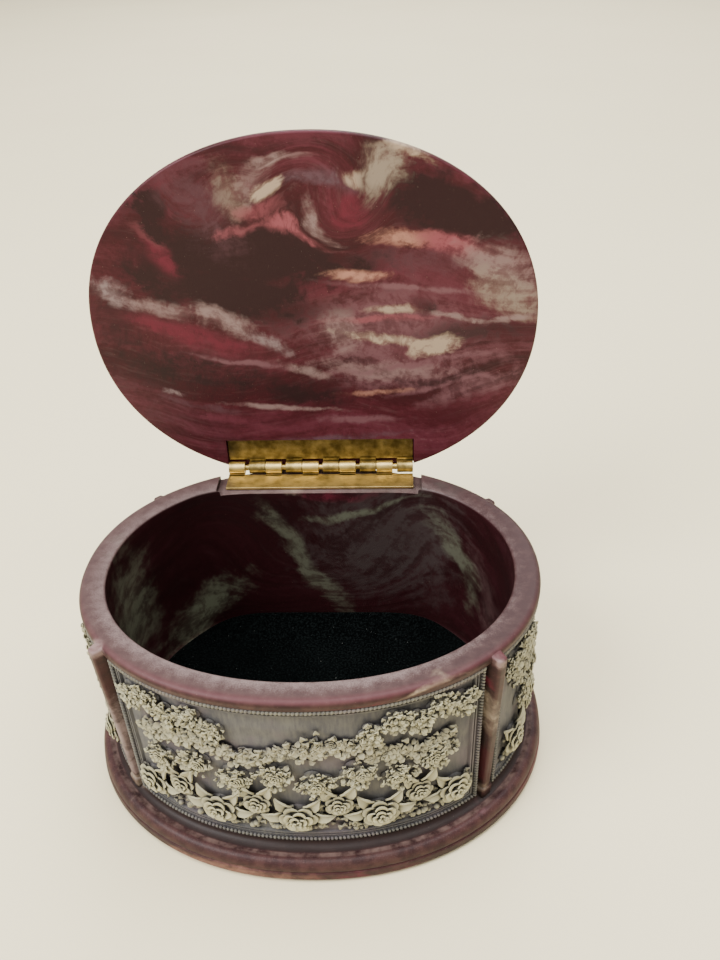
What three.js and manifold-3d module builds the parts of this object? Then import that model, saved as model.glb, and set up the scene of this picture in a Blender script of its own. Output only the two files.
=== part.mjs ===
// Oval keepsake box of cast marbled stone with a hinged lid.
// The body stands on a stepped plinth, four relief panels are let into its wall between
// four corner pilasters, and a rolled brass hinge carries the lid, shown standing open.
// Millimetres. The origin is the middle of the foot on the table, +X right, +Y back, +Z up.
import * as THREE from 'three';
import { mergeVertices } from 'three/addons/utils/BufferGeometryUtils.js';
import Module from 'manifold-3d';

const wasm = await Module();
wasm.setup();

// Driving sizes of the oval and the body
const ovalPower = 2.11;
const ovalSteps = 56;
const rimHalfWidth = 68;
const rimHalfDepth = 53.5;
const rimTop = 68.5;
const rimBandHeight = 3;
const edgeRound = 0.9;
const bandDraft = 0.2;
const wallThickness = 7.7;
const cavityTaper = 0.8;
const floorTop = 8;
const floorCorner = 3;

// Driving sizes of the plinth
const feltThickness = 0.8;
const feltInset = 4;
const plinthSideStep = 5.4;
const plinthFrontStep = 6.9;
const plinthBandTop = 3.7;
const grooveHeight = 0.8;
const grooveDepth = 0.8;
const ovoloTop = 7.7;
const ovoloStep = 2.7;
const coveDip = 0.5;
const footTop = 9;
const footInset = 0.6;

// Driving sizes of the pilasters
const frontPilasterAngle = 39;
const rearPilasterAngle = 37.2;
const wallTurn = 2.2;
const pilasterWidth = 5.6;
const pilasterCrownWidth = 3.8;
const frontPilasterStand = 2.8;
const rearPilasterStand = 1.6;
const pilasterFootStand = 0.4;
const pilasterRoot = 5.2;
const footBlockHeight = 3.6;
const footBlockGrowth = 0.5;

// Driving sizes of the relief panels
const bondGap = 0.3;
const panelSeat = 4;
const groundInset = 1.9;
const cordWidth = 1.5;
const cordStand = 0.1;
const filletWidth = 1.3;
const filletInset = 1;
const borderSlope = 0.5;

// Driving sizes of the carving on the panels
const blossomPitch = 11.6;
const blossomRow = 23;
const blossomWave = 2.6;
const largeBlossom = 5.6;
const smallBlossom = 4.2;
const blossomStand = 3.4;
const leafLength = 9.5;
const leafBreadth = 4.4;
const leafStand = 1.5;
const leafSpread = 0.75;
const leafLean = 0.55;
const boughDrop = 9.5;
const boughPitch = 6.6;
const boughClump = 4.4;
const boughStand = 2.2;
const boughRise = 3.1;
const boughFall = 0.4;
const boughTaper = 0.4;
const longPanelBoughs = 5;
const sidePanelBoughs = 3;
const hedgeRow = 36.5;
const hedgeWave = 1.75;
const hedgeClump = 4.6;
const carvingRoot = 0.9;

// Driving sizes of the lid
const lidSideOverhang = 2.65;
const lidFrontOverhang = 5.1;
const lidBackOverhang = 1.9;
const lidBandHeight = 3;
const lidBandRound = 0.8;
const lidStepHeight = 0.7;
const lidStepInset = 1.1;
const lidShoulderHeight = 6.4;
const lidShoulderInset = 7;
const lidPanelBorder = 11.5;
const lidPanelSeat = 1.8;
const lidPanelDome = 2.4;
const lidDomeShoulder = 28.5;
const lidDomeFall = 0.6;
const lidWreathBlossoms = 10;
const lidWreathInset = 17.2;
const lidMiddleBlossom = 11.2;
const closedGap = 0.3;
const lidHeelPastAxis = 0.5;

// Driving sizes of the hinge
const openAngle = 94;
const hingeLength = 63.6;
const knucklePairs = 5;
const knuckleRadius = 2.1;
const leafThickness = 0.8;
const leafReach = 10.3;
const axisFromRimBack = 2.8;
const wideKnuckleGap = 1.55;
const closeKnuckleGap = 0.3;
const curlEndAngle = 205;
const knuckleRelief = 0.4;
const pinRadius = 1.05;
const notchSideGap = 2.7;
const ledgeMargin = 1.9;
const velvetThickness = 2;
const velvetClearance = 0.4;

// Sizes worked out from the ones above
const axisY = rimHalfDepth - axisFromRimBack;
const axisZ = rimTop + closedGap / 2;
const ledgeZ = axisZ - knuckleRadius - bondGap;
const backWallY = axisY - leafReach - ledgeMargin;
const notchHalfWidth = hingeLength / 2 + notchSideGap;
const bandBottom = rimTop - rimBandHeight;
const panelBottom = footTop + bondGap;
const panelTop = bandBottom - bondGap;
const lidHalfWidth = rimHalfWidth + lidSideOverhang;
const lidHalfDepth = rimHalfDepth + (lidFrontOverhang + lidBackOverhang) / 2;
const lidCentreY = (lidBackOverhang - lidFrontOverhang) / 2;
const lidBottom = rimTop + closedGap;
const far = 200;

const rimOval = { halfWidth: rimHalfWidth, halfDepth: rimHalfDepth, centreY: 0 };
const plinthOval = {
  halfWidth: rimHalfWidth + plinthSideStep,
  halfDepth: rimHalfDepth + plinthFrontStep,
  centreY: 0,
};
const lidOval = { halfWidth: lidHalfWidth, halfDepth: lidHalfDepth, centreY: lidCentreY };

// Finishes
const finishes = {
  burgundy_stone: { color: 0x6e3a43, roughness: 0.42, metalness: 0 },
  relief_stone: { color: 0xaaa696, roughness: 0.75, metalness: 0 },
  brass: { color: 0xa98a45, roughness: 0.35, metalness: 1 },
  velvet: { color: 0x0d1214, roughness: 0.95, metalness: 0 },
  felt: { color: 0x2a2523, roughness: 1, metalness: 0 },
};

// Solids and meshes

// A closed triangle mesh as a solid that can be joined and cut
function solidFrom(geometry) {
  const bare = geometry.clone();
  bare.deleteAttribute('normal');
  bare.deleteAttribute('uv');
  const merged = mergeVertices(bare, 1e-4);
  const corners = merged.index.array;
  const kept = [];
  for (let i = 0; i < corners.length; i += 3) {
    const [a, b, c] = corners.slice(i, i + 3);
    if (a !== b && b !== c && c !== a) kept.push(a, b, c);
  }
  return new wasm.Manifold(new wasm.Mesh({
    numProp: 3,
    vertProperties: new Float32Array(merged.attributes.position.array),
    triVerts: new Uint32Array(kept),
  }));
}

// A solid back as a geometry for display
function geometryFrom(solid) {
  const mesh = solid.getMesh();
  const geometry = new THREE.BufferGeometry();
  geometry.setAttribute('position', new THREE.BufferAttribute(mesh.vertProperties, 3));
  geometry.setIndex(new THREE.BufferAttribute(mesh.triVerts, 1));
  geometry.computeVertexNormals();
  return geometry;
}

function namedMesh(name, solid, finish) {
  const material = new THREE.MeshStandardMaterial({ ...finishes[finish], flatShading: true });
  const mesh = new THREE.Mesh(geometryFrom(solid), material);
  mesh.name = name;
  return mesh;
}

// A straight-sided block between two corners
function block(low, high) {
  const size = high.map((value, axis) => value - low[axis]);
  const geometry = new THREE.BoxGeometry(...size);
  geometry.translate(...low.map((value, axis) => value + size[axis] / 2));
  return solidFrom(geometry);
}

function joined(solids) {
  return solids.reduce((whole, solid) => whole.add(solid));
}

// The oval

function signedPower(value, power) {
  return Math.sign(value) * Math.abs(value) ** power;
}

// A place on an oval drawn in by an inset, at an angle in radians
function ovalPoint(oval, inset, angle) {
  const power = 2 / ovalPower;
  return new THREE.Vector2(
    (oval.halfWidth - inset) * signedPower(Math.cos(angle), power),
    oval.centreY + (oval.halfDepth - inset) * signedPower(Math.sin(angle), power),
  );
}

// One level of a moulding: an oval, how far it is drawn in, and its height
function level(oval, inset, z) {
  const { halfWidth, halfDepth, centreY } = oval;
  return { halfWidth: halfWidth - inset, halfDepth: halfDepth - inset, centreY, z };
}

function axisLevel(oval, z) {
  return { halfWidth: 0, halfDepth: 0, centreY: oval.centreY, z };
}

// Levels along a quarter round from one level to another: a swelling one leaves
// upright and arrives level, a hollow one leaves level and arrives upright
function quarterRound(start, end, steps, hollow) {
  const levels = [];
  for (let step = 1; step <= steps; step += 1) {
    const turn = (step / steps) * (Math.PI / 2);
    const across = hollow ? Math.sin(turn) : 1 - Math.cos(turn);
    const up = hollow ? 1 - Math.cos(turn) : Math.sin(turn);
    levels.push({
      halfWidth: THREE.MathUtils.lerp(start.halfWidth, end.halfWidth, across),
      halfDepth: THREE.MathUtils.lerp(start.halfDepth, end.halfDepth, across),
      centreY: start.centreY,
      z: THREE.MathUtils.lerp(start.z, end.z, up),
    });
  }
  return levels;
}

// A profile of levels carried round the oval
function ovalSolid(levels) {
  const profile = levels.map((_, row) => new THREE.Vector2(1, row));
  const geometry = new THREE.LatheGeometry(profile, ovalSteps);
  const place = geometry.attributes.position;
  for (let i = 0; i < place.count; i += 1) {
    const ring = levels[i % levels.length];
    const angle = (Math.floor(i / levels.length) / ovalSteps) * Math.PI * 2;
    const point = ovalPoint(ring, 0, angle);
    place.setXYZ(i, point.x, point.y, ring.z);
  }
  return solidFrom(geometry);
}

// The angle reached after walking a distance along the rim's oval
function walkOval(startAngle, distance) {
  const stride = 0.25;
  const steps = Math.max(1, Math.round(Math.abs(distance) / stride));
  const probe = 0.001;
  let angle = startAngle;
  for (let step = 0; step < steps; step += 1) {
    const here = ovalPoint(rimOval, 0, angle);
    const speed = here.distanceTo(ovalPoint(rimOval, 0, angle + probe)) / probe;
    angle += distance / steps / speed;
  }
  return angle;
}

// A frame on the wall as seen from outside: x to the right, y into the wall, z up
function wallFrame(angle, inset, z) {
  const probe = 0.001;
  const here = ovalPoint(rimOval, inset, angle);
  const along = ovalPoint(rimOval, inset, angle + probe).sub(here).normalize();
  const matrix = new THREE.Matrix4().makeBasis(
    new THREE.Vector3(along.x, along.y, 0),
    new THREE.Vector3(-along.y, along.x, 0),
    new THREE.Vector3(0, 0, 1),
  );
  return matrix.setPosition(here.x, here.y, z);
}

// Body

// A post with a face narrower than its root, standing further out at the rim than at its foot
function pilasterBlock(angle, rimStand, growth, bottom, top) {
  const width = pilasterWidth + 2 * growth;
  const crown = pilasterCrownWidth + 2 * growth;
  const geometry = new THREE.BoxGeometry(1, 1, 1);
  const place = geometry.attributes.position;
  const standAt = (z) => THREE.MathUtils.mapLinear(z, footTop, rimTop, pilasterFootStand, rimStand);
  for (let i = 0; i < place.count; i += 1) {
    const outer = place.getY(i) < 0;
    const z = place.getZ(i) > 0 ? top : bottom;
    const across = place.getX(i) * (outer ? crown : width);
    place.setXYZ(i, across, outer ? -standAt(z) - growth : pilasterRoot, z);
  }
  geometry.applyMatrix4(wallFrame(angle, 0, 0));
  return solidFrom(geometry);
}

// Corners of the wall, as angles round the oval; the wall sits a little turned against the hinge
const cornerAngle = (degrees) => THREE.MathUtils.degToRad(degrees - wallTurn);
const frontLeft = cornerAngle(frontPilasterAngle - 180);
const frontRight = cornerAngle(-frontPilasterAngle);
const rearRight = cornerAngle(rearPilasterAngle);
const rearLeft = cornerAngle(180 - rearPilasterAngle);
const pilasters = [
  { angle: frontLeft, stand: frontPilasterStand },
  { angle: frontRight, stand: frontPilasterStand },
  { angle: rearRight, stand: rearPilasterStand },
  { angle: rearLeft, stand: rearPilasterStand },
];

function makeBody() {
  const bandTop = level(plinthOval, bandDraft, plinthBandTop);
  const ovoloStart = level(plinthOval, grooveDepth / 2, plinthBandTop + grooveHeight);
  const ovoloEnd = level(plinthOval, ovoloStep, ovoloTop);
  const ridge = level(plinthOval, ovoloStep + grooveDepth / 2, ovoloTop);
  const coveBottom = level(plinthOval, (ovoloStep + plinthFrontStep) / 2, ovoloTop - coveDip);
  const coveEnd = level(rimOval, footInset, footTop);
  const bandFace = level(rimOval, 0, rimTop - edgeRound);
  const rimEdge = level(rimOval, edgeRound, rimTop);
  const outer = ovalSolid([
    axisLevel(plinthOval, feltThickness),
    level(plinthOval, edgeRound, feltThickness),
    level(plinthOval, 0, feltThickness + edgeRound),
    bandTop,
    level(plinthOval, grooveDepth, plinthBandTop + grooveHeight / 2),
    ovoloStart,
    ...quarterRound(ovoloStart, ovoloEnd, 3, false),
    ridge,
    coveBottom,
    ...quarterRound(coveBottom, coveEnd, 2, true),
    level(rimOval, panelSeat, footTop),
    level(rimOval, panelSeat, bandBottom),
    level(rimOval, bandDraft, bandBottom),
    bandFace,
    ...quarterRound(bandFace, rimEdge, 2, false),
    axisLevel(rimOval, rimTop),
  ]);
  const posts = pilasters.flatMap(({ angle, stand }) => [
    pilasterBlock(angle, stand, 0, coveBottom.z, rimTop),
    pilasterBlock(angle, stand, footBlockGrowth, coveBottom.z, footTop + footBlockHeight),
  ]);
  return joined([outer, ...posts]).subtract(makeCavity(0)).subtract(hingeNotch());
}

// The hollow of the box: oval in front and at the sides, flat at the back
function makeCavity(clearance) {
  const inset = wallThickness + clearance;
  const floorStart = level(rimOval, inset + cavityTaper + floorCorner, floorTop);
  const floorEnd = level(rimOval, inset + cavityTaper, floorTop + floorCorner);
  const hollow = ovalSolid([
    axisLevel(rimOval, floorTop),
    floorStart,
    ...quarterRound(floorStart, floorEnd, 2, true),
    level(rimOval, inset, rimTop - edgeRound),
    level(rimOval, inset - edgeRound, rimTop),
    level(rimOval, inset - edgeRound, rimTop + edgeRound),
    axisLevel(rimOval, rimTop + edgeRound),
  ]);
  return hollow.intersect(block([-far, -far, 0], [far, backWallY - clearance, far]));
}

function hingeNotch() {
  return block([-notchHalfWidth, backWallY - edgeRound, ledgeZ], [notchHalfWidth, far, far]);
}

// Soft parts

function makeVelvetPad() {
  const slab = block([-far, -far, floorTop], [far, far, floorTop + velvetThickness]);
  return makeCavity(velvetClearance).intersect(slab);
}

function makeBaseFelt() {
  return ovalSolid([
    axisLevel(plinthOval, 0),
    level(plinthOval, feltInset, 0),
    level(plinthOval, feltInset, feltThickness),
    axisLevel(plinthOval, feltThickness),
  ]);
}

// Carving: blossoms, leaves and leafy boughs, each a low solid sunk into the ground

function carved(form, frame, lean, stand, breadth, length) {
  const shape = form.clone();
  shape.scale(breadth, stand, length);
  shape.rotateY(lean);
  const place = shape.attributes.position;
  for (let i = 0; i < place.count; i += 1) place.setY(i, Math.min(place.getY(i), carvingRoot));
  shape.applyMatrix4(frame);
  return solidFrom(shape);
}

const blossomForm = new THREE.SphereGeometry(1, 8, 4);
const leafForm = new THREE.OctahedronGeometry(1, 0);
const clumpForm = new THREE.IcosahedronGeometry(1, 0);

// A waving row of blossoms with their leaves, a hedge above it, and leafy boughs that come
// in from the top corners
function carvingPlan(width, boughs) {
  const plan = [];
  const count = Math.floor((width - 2 * largeBlossom) / blossomPitch) + 1;
  for (let k = 0; k < count; k += 1) {
    const along = (k - (count - 1) / 2) * blossomPitch;
    const large = k % 2 === 0;
    const radius = large ? largeBlossom : smallBlossom;
    const height = blossomRow + (large ? -blossomWave : blossomWave);
    plan.push({ kind: 'blossom', along, height, radius });
    for (const side of large ? [-1, 1] : [0]) {
      plan.push({
        kind: 'leaf',
        along: along + side * radius * leafSpread,
        height: height + radius + leafLength / 3,
        lean: side * leafLean,
      });
    }
  }
  for (let k = 0; k < count - 1; k += 1) {
    const along = (k - (count - 2) / 2) * blossomPitch;
    const height = hedgeRow + (k % 2 ? hedgeWave : -hedgeWave);
    plan.push({ kind: 'clump', along, height, radius: hedgeClump });
  }
  for (const side of [-1, 1]) {
    for (let k = 0; k < boughs; k += 1) {
      plan.push({
        kind: 'clump',
        along: side * (width / 2 - boughClump - cordWidth - filletWidth - k * boughPitch),
        height: panelTop - boughDrop + (k % 2) * boughRise - k * boughFall,
        radius: boughClump - k * boughTaper,
      });
    }
  }
  return plan;
}

function carve(middleAngle, width, boughs) {
  return carvingPlan(width, boughs).map((motif) => {
    const angle = walkOval(middleAngle, motif.along);
    const frame = wallFrame(angle, groundInset, motif.height);
    if (motif.kind === 'blossom') {
      return carved(blossomForm, frame, 0, blossomStand, motif.radius, motif.radius);
    }
    if (motif.kind === 'leaf') {
      return carved(leafForm, frame, motif.lean, leafStand, leafBreadth / 2, leafLength / 2);
    }
    return carved(clumpForm, frame, 0, boughStand, motif.radius, motif.radius);
  });
}

// Relief panels

// The cord and fillet of a panel's border: distance in from the edge, then inset
const borderWidth = cordWidth + filletWidth + borderSlope;
const cordShoulder = cordWidth / 4;
const borderProfile = [
  [0, cordWidth / 2],
  [cordShoulder, -cordStand],
  [cordWidth - cordShoulder, -cordStand],
  [cordWidth, filletInset],
  [cordWidth + filletWidth, filletInset],
  [borderWidth, groundInset],
];

// The band of relief stone all round, with its cord and fillet above and below
function panelRing() {
  const lower = borderProfile.map(([rise, inset]) => level(rimOval, inset, panelBottom + rise));
  const upper = borderProfile.map(([drop, inset]) => level(rimOval, inset, panelTop - drop));
  upper.reverse();
  const back = panelSeat - bondGap;
  const levels = [level(rimOval, back, panelBottom), ...lower, ...upper];
  levels.push(level(rimOval, back, panelTop), level(rimOval, back, panelBottom));
  return ovalSolid(levels);
}

// Where a panel ends beside a pilaster: everything within this distance of its middle
const slotHalfWidth = pilasterWidth / 2 + footBlockGrowth + bondGap;

function pilasterSlot({ angle }) {
  const slotReach = 2 * panelSeat;
  const geometry = new THREE.BoxGeometry(2 * slotHalfWidth, 2 * slotReach, 2 * rimTop);
  geometry.applyMatrix4(wallFrame(angle, 0, 0));
  return solidFrom(geometry);
}

// The upright cord and fillet at one end of a panel
function endBorder(pilasterAt, side) {
  const root = groundInset + carvingRoot;
  const outline = [...borderProfile, [borderWidth, root], [0, root]];
  const points = outline.map(([distance, inset]) =>
    new THREE.Vector2(side * (slotHalfWidth + distance), inset));
  const height = panelTop - panelBottom;
  const shape = new THREE.Shape(points);
  const geometry = new THREE.ExtrudeGeometry(shape, { depth: height, bevelEnabled: false });
  geometry.translate(0, 0, panelBottom);
  geometry.applyMatrix4(wallFrame(pilasterAt, 0, 0));
  return solidFrom(geometry);
}

const cutRing = pilasters.reduce((left, post) => left.subtract(pilasterSlot(post)), panelRing());

// Everything between the middle planes of two pilasters
function panelSector(fromAngle, toAngle) {
  const inner = 2 * panelSeat;
  const corners = [[fromAngle, inner], [fromAngle, -far], [toAngle, -far], [toAngle, inner]];
  const points = corners.map(([angle, inward]) => {
    const corner = new THREE.Vector3(0, inward, 0).applyMatrix4(wallFrame(angle, 0, 0));
    return new THREE.Vector2(corner.x, corner.y);
  });
  const shape = new THREE.Shape(points);
  return solidFrom(new THREE.ExtrudeGeometry(shape, { depth: rimTop, bevelEnabled: false }));
}

function panelWidth(fromAngle, toAngle) {
  const pieces = 60;
  let width = 0;
  let last = ovalPoint(rimOval, 0, fromAngle);
  for (let piece = 1; piece <= pieces; piece += 1) {
    const next = ovalPoint(rimOval, 0, THREE.MathUtils.lerp(fromAngle, toAngle, piece / pieces));
    width += next.distanceTo(last);
    last = next;
  }
  return width - 2 * slotHalfWidth;
}

function makePanel(fromAngle, toAngle, boughs) {
  const middleAngle = (fromAngle + toAngle) / 2;
  return joined([
    cutRing.intersect(panelSector(fromAngle, toAngle)),
    endBorder(fromAngle, 1),
    endBorder(toAngle, -1),
    ...carve(middleAngle, panelWidth(fromAngle, toAngle), boughs),
  ]);
}

// Lid, drawn closed on the rim

function makeLid() {
  const top = lidBottom + lidBandHeight;
  const stepTop = level(lidOval, lidStepInset, top + lidStepHeight);
  const shoulder = level(lidOval, lidShoulderInset, lidBottom + lidShoulderHeight);
  const seatZ = lidBottom + lidShoulderHeight - lidPanelSeat;
  const slab = ovalSolid([
    axisLevel(lidOval, lidBottom),
    level(lidOval, lidBandRound, lidBottom),
    level(lidOval, 0, lidBottom + lidBandRound),
    level(lidOval, 0, top - lidBandRound / 2),
    level(lidOval, lidBandRound / 2, top),
    level(lidOval, lidStepInset, top),
    stepTop,
    ...quarterRound(stepTop, shoulder, 3, false),
    level(lidOval, lidPanelBorder - bondGap, shoulder.z),
    level(lidOval, lidPanelBorder - bondGap, seatZ),
    axisLevel(lidOval, seatZ),
  ]);
  const heelY = axisY + lidHeelPastAxis;
  const heel = block([-far, heelY, 0], [far, far, far]);
  const leafEnd = hingeLength / 2 + bondGap;
  const leafFront = axisY - leafReach - bondGap;
  const recessTop = axisZ + knuckleRadius + bondGap;
  const recess = block([-leafEnd, leafFront, 0], [leafEnd, far, recessTop]);
  return slab.subtract(heel).subtract(recess);
}

// The carved oval let into the top of the lid
function makeLidPanel() {
  const seat = lidBottom + lidShoulderHeight - lidPanelSeat + bondGap;
  const edgeTop = lidBottom + lidShoulderHeight + cordStand;
  const ground = level(lidOval, lidPanelBorder + 2 * cordWidth, edgeTop - cordWidth);
  const crown = edgeTop - cordWidth + lidPanelDome;
  const oval = ovalSolid([
    axisLevel(lidOval, seat),
    level(lidOval, lidPanelBorder, seat),
    level(lidOval, lidPanelBorder, edgeTop - cordShoulder),
    level(lidOval, lidPanelBorder + cordShoulder, edgeTop),
    level(lidOval, lidPanelBorder + cordWidth - cordShoulder, edgeTop),
    level(lidOval, lidPanelBorder + cordWidth, edgeTop - cordWidth),
    ground,
    level(lidOval, lidDomeShoulder, crown - lidDomeFall),
    axisLevel(lidOval, crown),
  ]);
  return joined([oval, ...lidCarving(crown)]);
}

// A wreath of blossoms round a larger one in the middle
function lidCarving(crown) {
  const middle = lidPlace(0, 0, crown);
  const blossoms = [carved(blossomForm, middle, 0, blossomStand, lidMiddleBlossom, lidMiddleBlossom)];
  for (let k = 0; k < lidWreathBlossoms; k += 1) {
    const angle = ((k + 0.5) / lidWreathBlossoms) * Math.PI * 2;
    const size = k % 2 ? smallBlossom : largeBlossom;
    const spot = ovalPoint(lidOval, lidPanelBorder + lidWreathInset, angle);
    const place = lidPlace(spot.x, spot.y - lidCentreY, crown - lidPanelDome / 2);
    blossoms.push(carved(blossomForm, place, 0, blossomStand, size, size));
  }
  return blossoms;
}

function lidPlace(x, y, z) {
  const flat = new THREE.Matrix4().makeRotationX(-Math.PI / 2);
  return flat.setPosition(x, lidCentreY + y, z);
}

// Hinge

const knucklePitch = (hingeLength + closeKnuckleGap) / knucklePairs;
const knuckleWidth = (knucklePitch - wideKnuckleGap - closeKnuckleGap) / 2;

// The leaf and its curl seen from the end: the plate runs forward under the pin,
// and its back edge rolls up behind the pin and over it
function curlShape() {
  const bore = knuckleRadius - leafThickness;
  const start = -Math.PI / 2;
  const end = THREE.MathUtils.degToRad(curlEndAngle);
  const plateEnd = -knuckleRadius - knuckleRelief;
  const shape = new THREE.Shape();
  shape.moveTo(plateEnd - leafThickness, -knuckleRadius);
  shape.lineTo(0, -knuckleRadius);
  shape.absarc(0, 0, knuckleRadius, start, end, false);
  shape.lineTo(bore * Math.cos(end), bore * Math.sin(end));
  shape.absarc(0, 0, bore, end, start, true);
  shape.lineTo(plateEnd - leafThickness, -bore);
  shape.closePath();
  return shape;
}

// An extrusion along X of a shape drawn in Y and Z about the pin
function alongPin(shape, from, width) {
  const options = { depth: width, bevelEnabled: false, curveSegments: 6 };
  const geometry = new THREE.ExtrudeGeometry(shape, options);
  geometry.rotateX(Math.PI / 2);
  geometry.rotateZ(Math.PI / 2);
  geometry.translate(from, 0, 0);
  return solidFrom(geometry);
}

// A leaf as it lies on the body, with a knuckle at the start of every pitch
function makeLeaf() {
  const plateShape = new THREE.Shape();
  const plateEnd = -knuckleRadius - knuckleRelief;
  plateShape.moveTo(-leafReach, -knuckleRadius);
  plateShape.lineTo(plateEnd, -knuckleRadius);
  plateShape.lineTo(plateEnd, -knuckleRadius + leafThickness);
  plateShape.lineTo(-leafReach, -knuckleRadius + leafThickness);
  plateShape.closePath();
  const pieces = [alongPin(plateShape, -hingeLength / 2, hingeLength)];
  for (let k = 0; k < knucklePairs; k += 1) {
    const from = -hingeLength / 2 + k * knucklePitch;
    pieces.push(alongPin(curlShape(), from, knuckleWidth));
  }
  return joined(pieces);
}

function makePin() {
  const geometry = new THREE.CylinderGeometry(pinRadius, pinRadius, hingeLength, 16);
  geometry.rotateZ(Math.PI / 2);
  return solidFrom(geometry);
}

// Assembly

const box = new THREE.Group();
box.add(namedMesh('box_body', makeBody(), 'burgundy_stone'));
const frontPanel = makePanel(frontLeft, frontRight, longPanelBoughs);
const rearPanel = makePanel(rearRight, rearLeft, longPanelBoughs);
const leftPanel = makePanel(rearLeft, frontLeft + 2 * Math.PI, sidePanelBoughs);
const rightPanel = makePanel(frontRight, rearRight, sidePanelBoughs);
box.add(namedMesh('relief_panel_front', frontPanel, 'relief_stone'));
box.add(namedMesh('relief_panel_rear', rearPanel, 'relief_stone'));
box.add(namedMesh('relief_panel_left', leftPanel, 'relief_stone'));
box.add(namedMesh('relief_panel_right', rightPanel, 'relief_stone'));
box.add(namedMesh('velvet_floor_pad', makeVelvetPad(), 'velvet'));
box.add(namedMesh('base_felt', makeBaseFelt(), 'felt'));

const hinge = new THREE.Group();
hinge.position.set(0, axisY, axisZ);
hinge.add(namedMesh('hinge_leaf_body', makeLeaf(), 'brass'));
hinge.add(namedMesh('hinge_pin', makePin(), 'brass'));
box.add(hinge);

// The lid turns about the pin: its parts are drawn closed and the group stands open
const lid = new THREE.Group();
lid.position.set(0, axisY, axisZ);
lid.rotation.x = -THREE.MathUtils.degToRad(openAngle);
const lidSlab = namedMesh('lid_slab', makeLid(), 'burgundy_stone');
const lidPanel = namedMesh('relief_panel_lid', makeLidPanel(), 'relief_stone');
for (const piece of [lidSlab, lidPanel]) piece.position.set(0, -axisY, -axisZ);
const lidLeaf = namedMesh('hinge_leaf_lid', makeLeaf(), 'brass');
lidLeaf.rotation.y = Math.PI;
lid.add(lidSlab, lidPanel, lidLeaf);
box.add(lid);

export default box;
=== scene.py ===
# %% [markdown]
# # A marbled stone keepsake box
# The box is an oval casting of burgundy stone with carved cream panels let into its wall.
# A velvet pad lies on its floor and a rolled brass hinge carries the lid, which stands open.
# Every piece is modelled in millimetres, in the frame of the solid model: +X right,
# +Y towards the hinge, +Z up, from the middle of the foot.

# %% The solid model as the frame
import math
import random
from collections import namedtuple

import bmesh
import bpy
import numpy as np
from mathutils import Matrix, Vector, noise


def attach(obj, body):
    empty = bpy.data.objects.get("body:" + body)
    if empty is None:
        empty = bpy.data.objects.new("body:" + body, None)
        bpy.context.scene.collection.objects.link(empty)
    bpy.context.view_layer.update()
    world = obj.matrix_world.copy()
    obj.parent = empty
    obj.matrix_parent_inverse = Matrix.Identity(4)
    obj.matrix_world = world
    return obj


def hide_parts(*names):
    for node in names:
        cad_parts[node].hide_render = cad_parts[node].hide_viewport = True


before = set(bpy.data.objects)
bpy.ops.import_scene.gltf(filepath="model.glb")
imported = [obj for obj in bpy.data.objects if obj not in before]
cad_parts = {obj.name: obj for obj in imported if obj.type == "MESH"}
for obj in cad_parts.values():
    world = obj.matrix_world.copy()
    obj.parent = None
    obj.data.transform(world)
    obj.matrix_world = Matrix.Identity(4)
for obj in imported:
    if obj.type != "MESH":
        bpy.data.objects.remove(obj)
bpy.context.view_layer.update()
print("frame nodes:", ", ".join(sorted(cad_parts)))

# %% [markdown]
# ## The camera
# The camera stands a little right of the middle and looks down on the open box.
# Its place, turn and lens were worked out from the outlines of the rim, the lid and the foot,
# so a fixed camera with those numbers is simpler than a target that it follows.

# %% The camera
MM = 0.001
PHOTO_HEIGHT = 960
FOCAL_PIXELS = 856.9
SENSOR = 36


def stand_camera(place, pitch, yaw, roll):
    """A camera at a place in millimetres, pitched down and turned left, in degrees."""
    pitch, yaw, roll = (math.radians(angle) for angle in (pitch, yaw, roll))
    ahead = Vector((-math.sin(yaw) * math.cos(pitch), math.cos(yaw) * math.cos(pitch), -math.sin(pitch)))
    level_right = Vector((math.cos(yaw), math.sin(yaw), 0))
    level_up = level_right.cross(ahead)
    right = level_right * math.cos(roll) + level_up * math.sin(roll)
    up = level_up * math.cos(roll) - level_right * math.sin(roll)
    data = bpy.data.cameras.new("camera")
    data.sensor_width = SENSOR
    data.lens = FOCAL_PIXELS / PHOTO_HEIGHT * SENSOR
    data.clip_start = 0.01
    camera = bpy.data.objects.new("camera", data)
    camera.matrix_world = Matrix((right, up, -ahead)).transposed().to_4x4()
    camera.location = Vector(place) * MM
    bpy.context.scene.collection.objects.link(camera)
    bpy.context.scene.camera = camera
    return camera


camera = stand_camera((25.4, -194.2, 235.5), pitch=35.14, yaw=2.81, roll=-2.13)
print("lens", round(camera.data.lens, 2), "mm")

# %% [markdown]
# ## Shader maths
# A finish is a net of nodes. Written out one by one they hide the idea, so a small class
# wraps a socket and turns ordinary sums into Math nodes. Colours are mixed by Mix nodes.


# %% Sockets that can be added and mixed
class Wire:
    """An output socket that can be used in sums."""

    def __init__(self, paint, socket):
        self.paint, self.socket = paint, socket

    def __add__(self, other):
        return self.paint.math("ADD", self, other)

    def __radd__(self, other):
        return self.paint.math("ADD", other, self)

    def __sub__(self, other):
        return self.paint.math("SUBTRACT", self, other)

    def __rsub__(self, other):
        return self.paint.math("SUBTRACT", other, self)

    def __mul__(self, other):
        return self.paint.math("MULTIPLY", self, other)

    def __rmul__(self, other):
        return self.paint.math("MULTIPLY", other, self)

    def __truediv__(self, other):
        return self.paint.math("DIVIDE", self, other)

    def __pow__(self, other):
        return self.paint.math("POWER", self, other)

    def __abs__(self):
        return self.paint.math("ABSOLUTE", self, 0)


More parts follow.
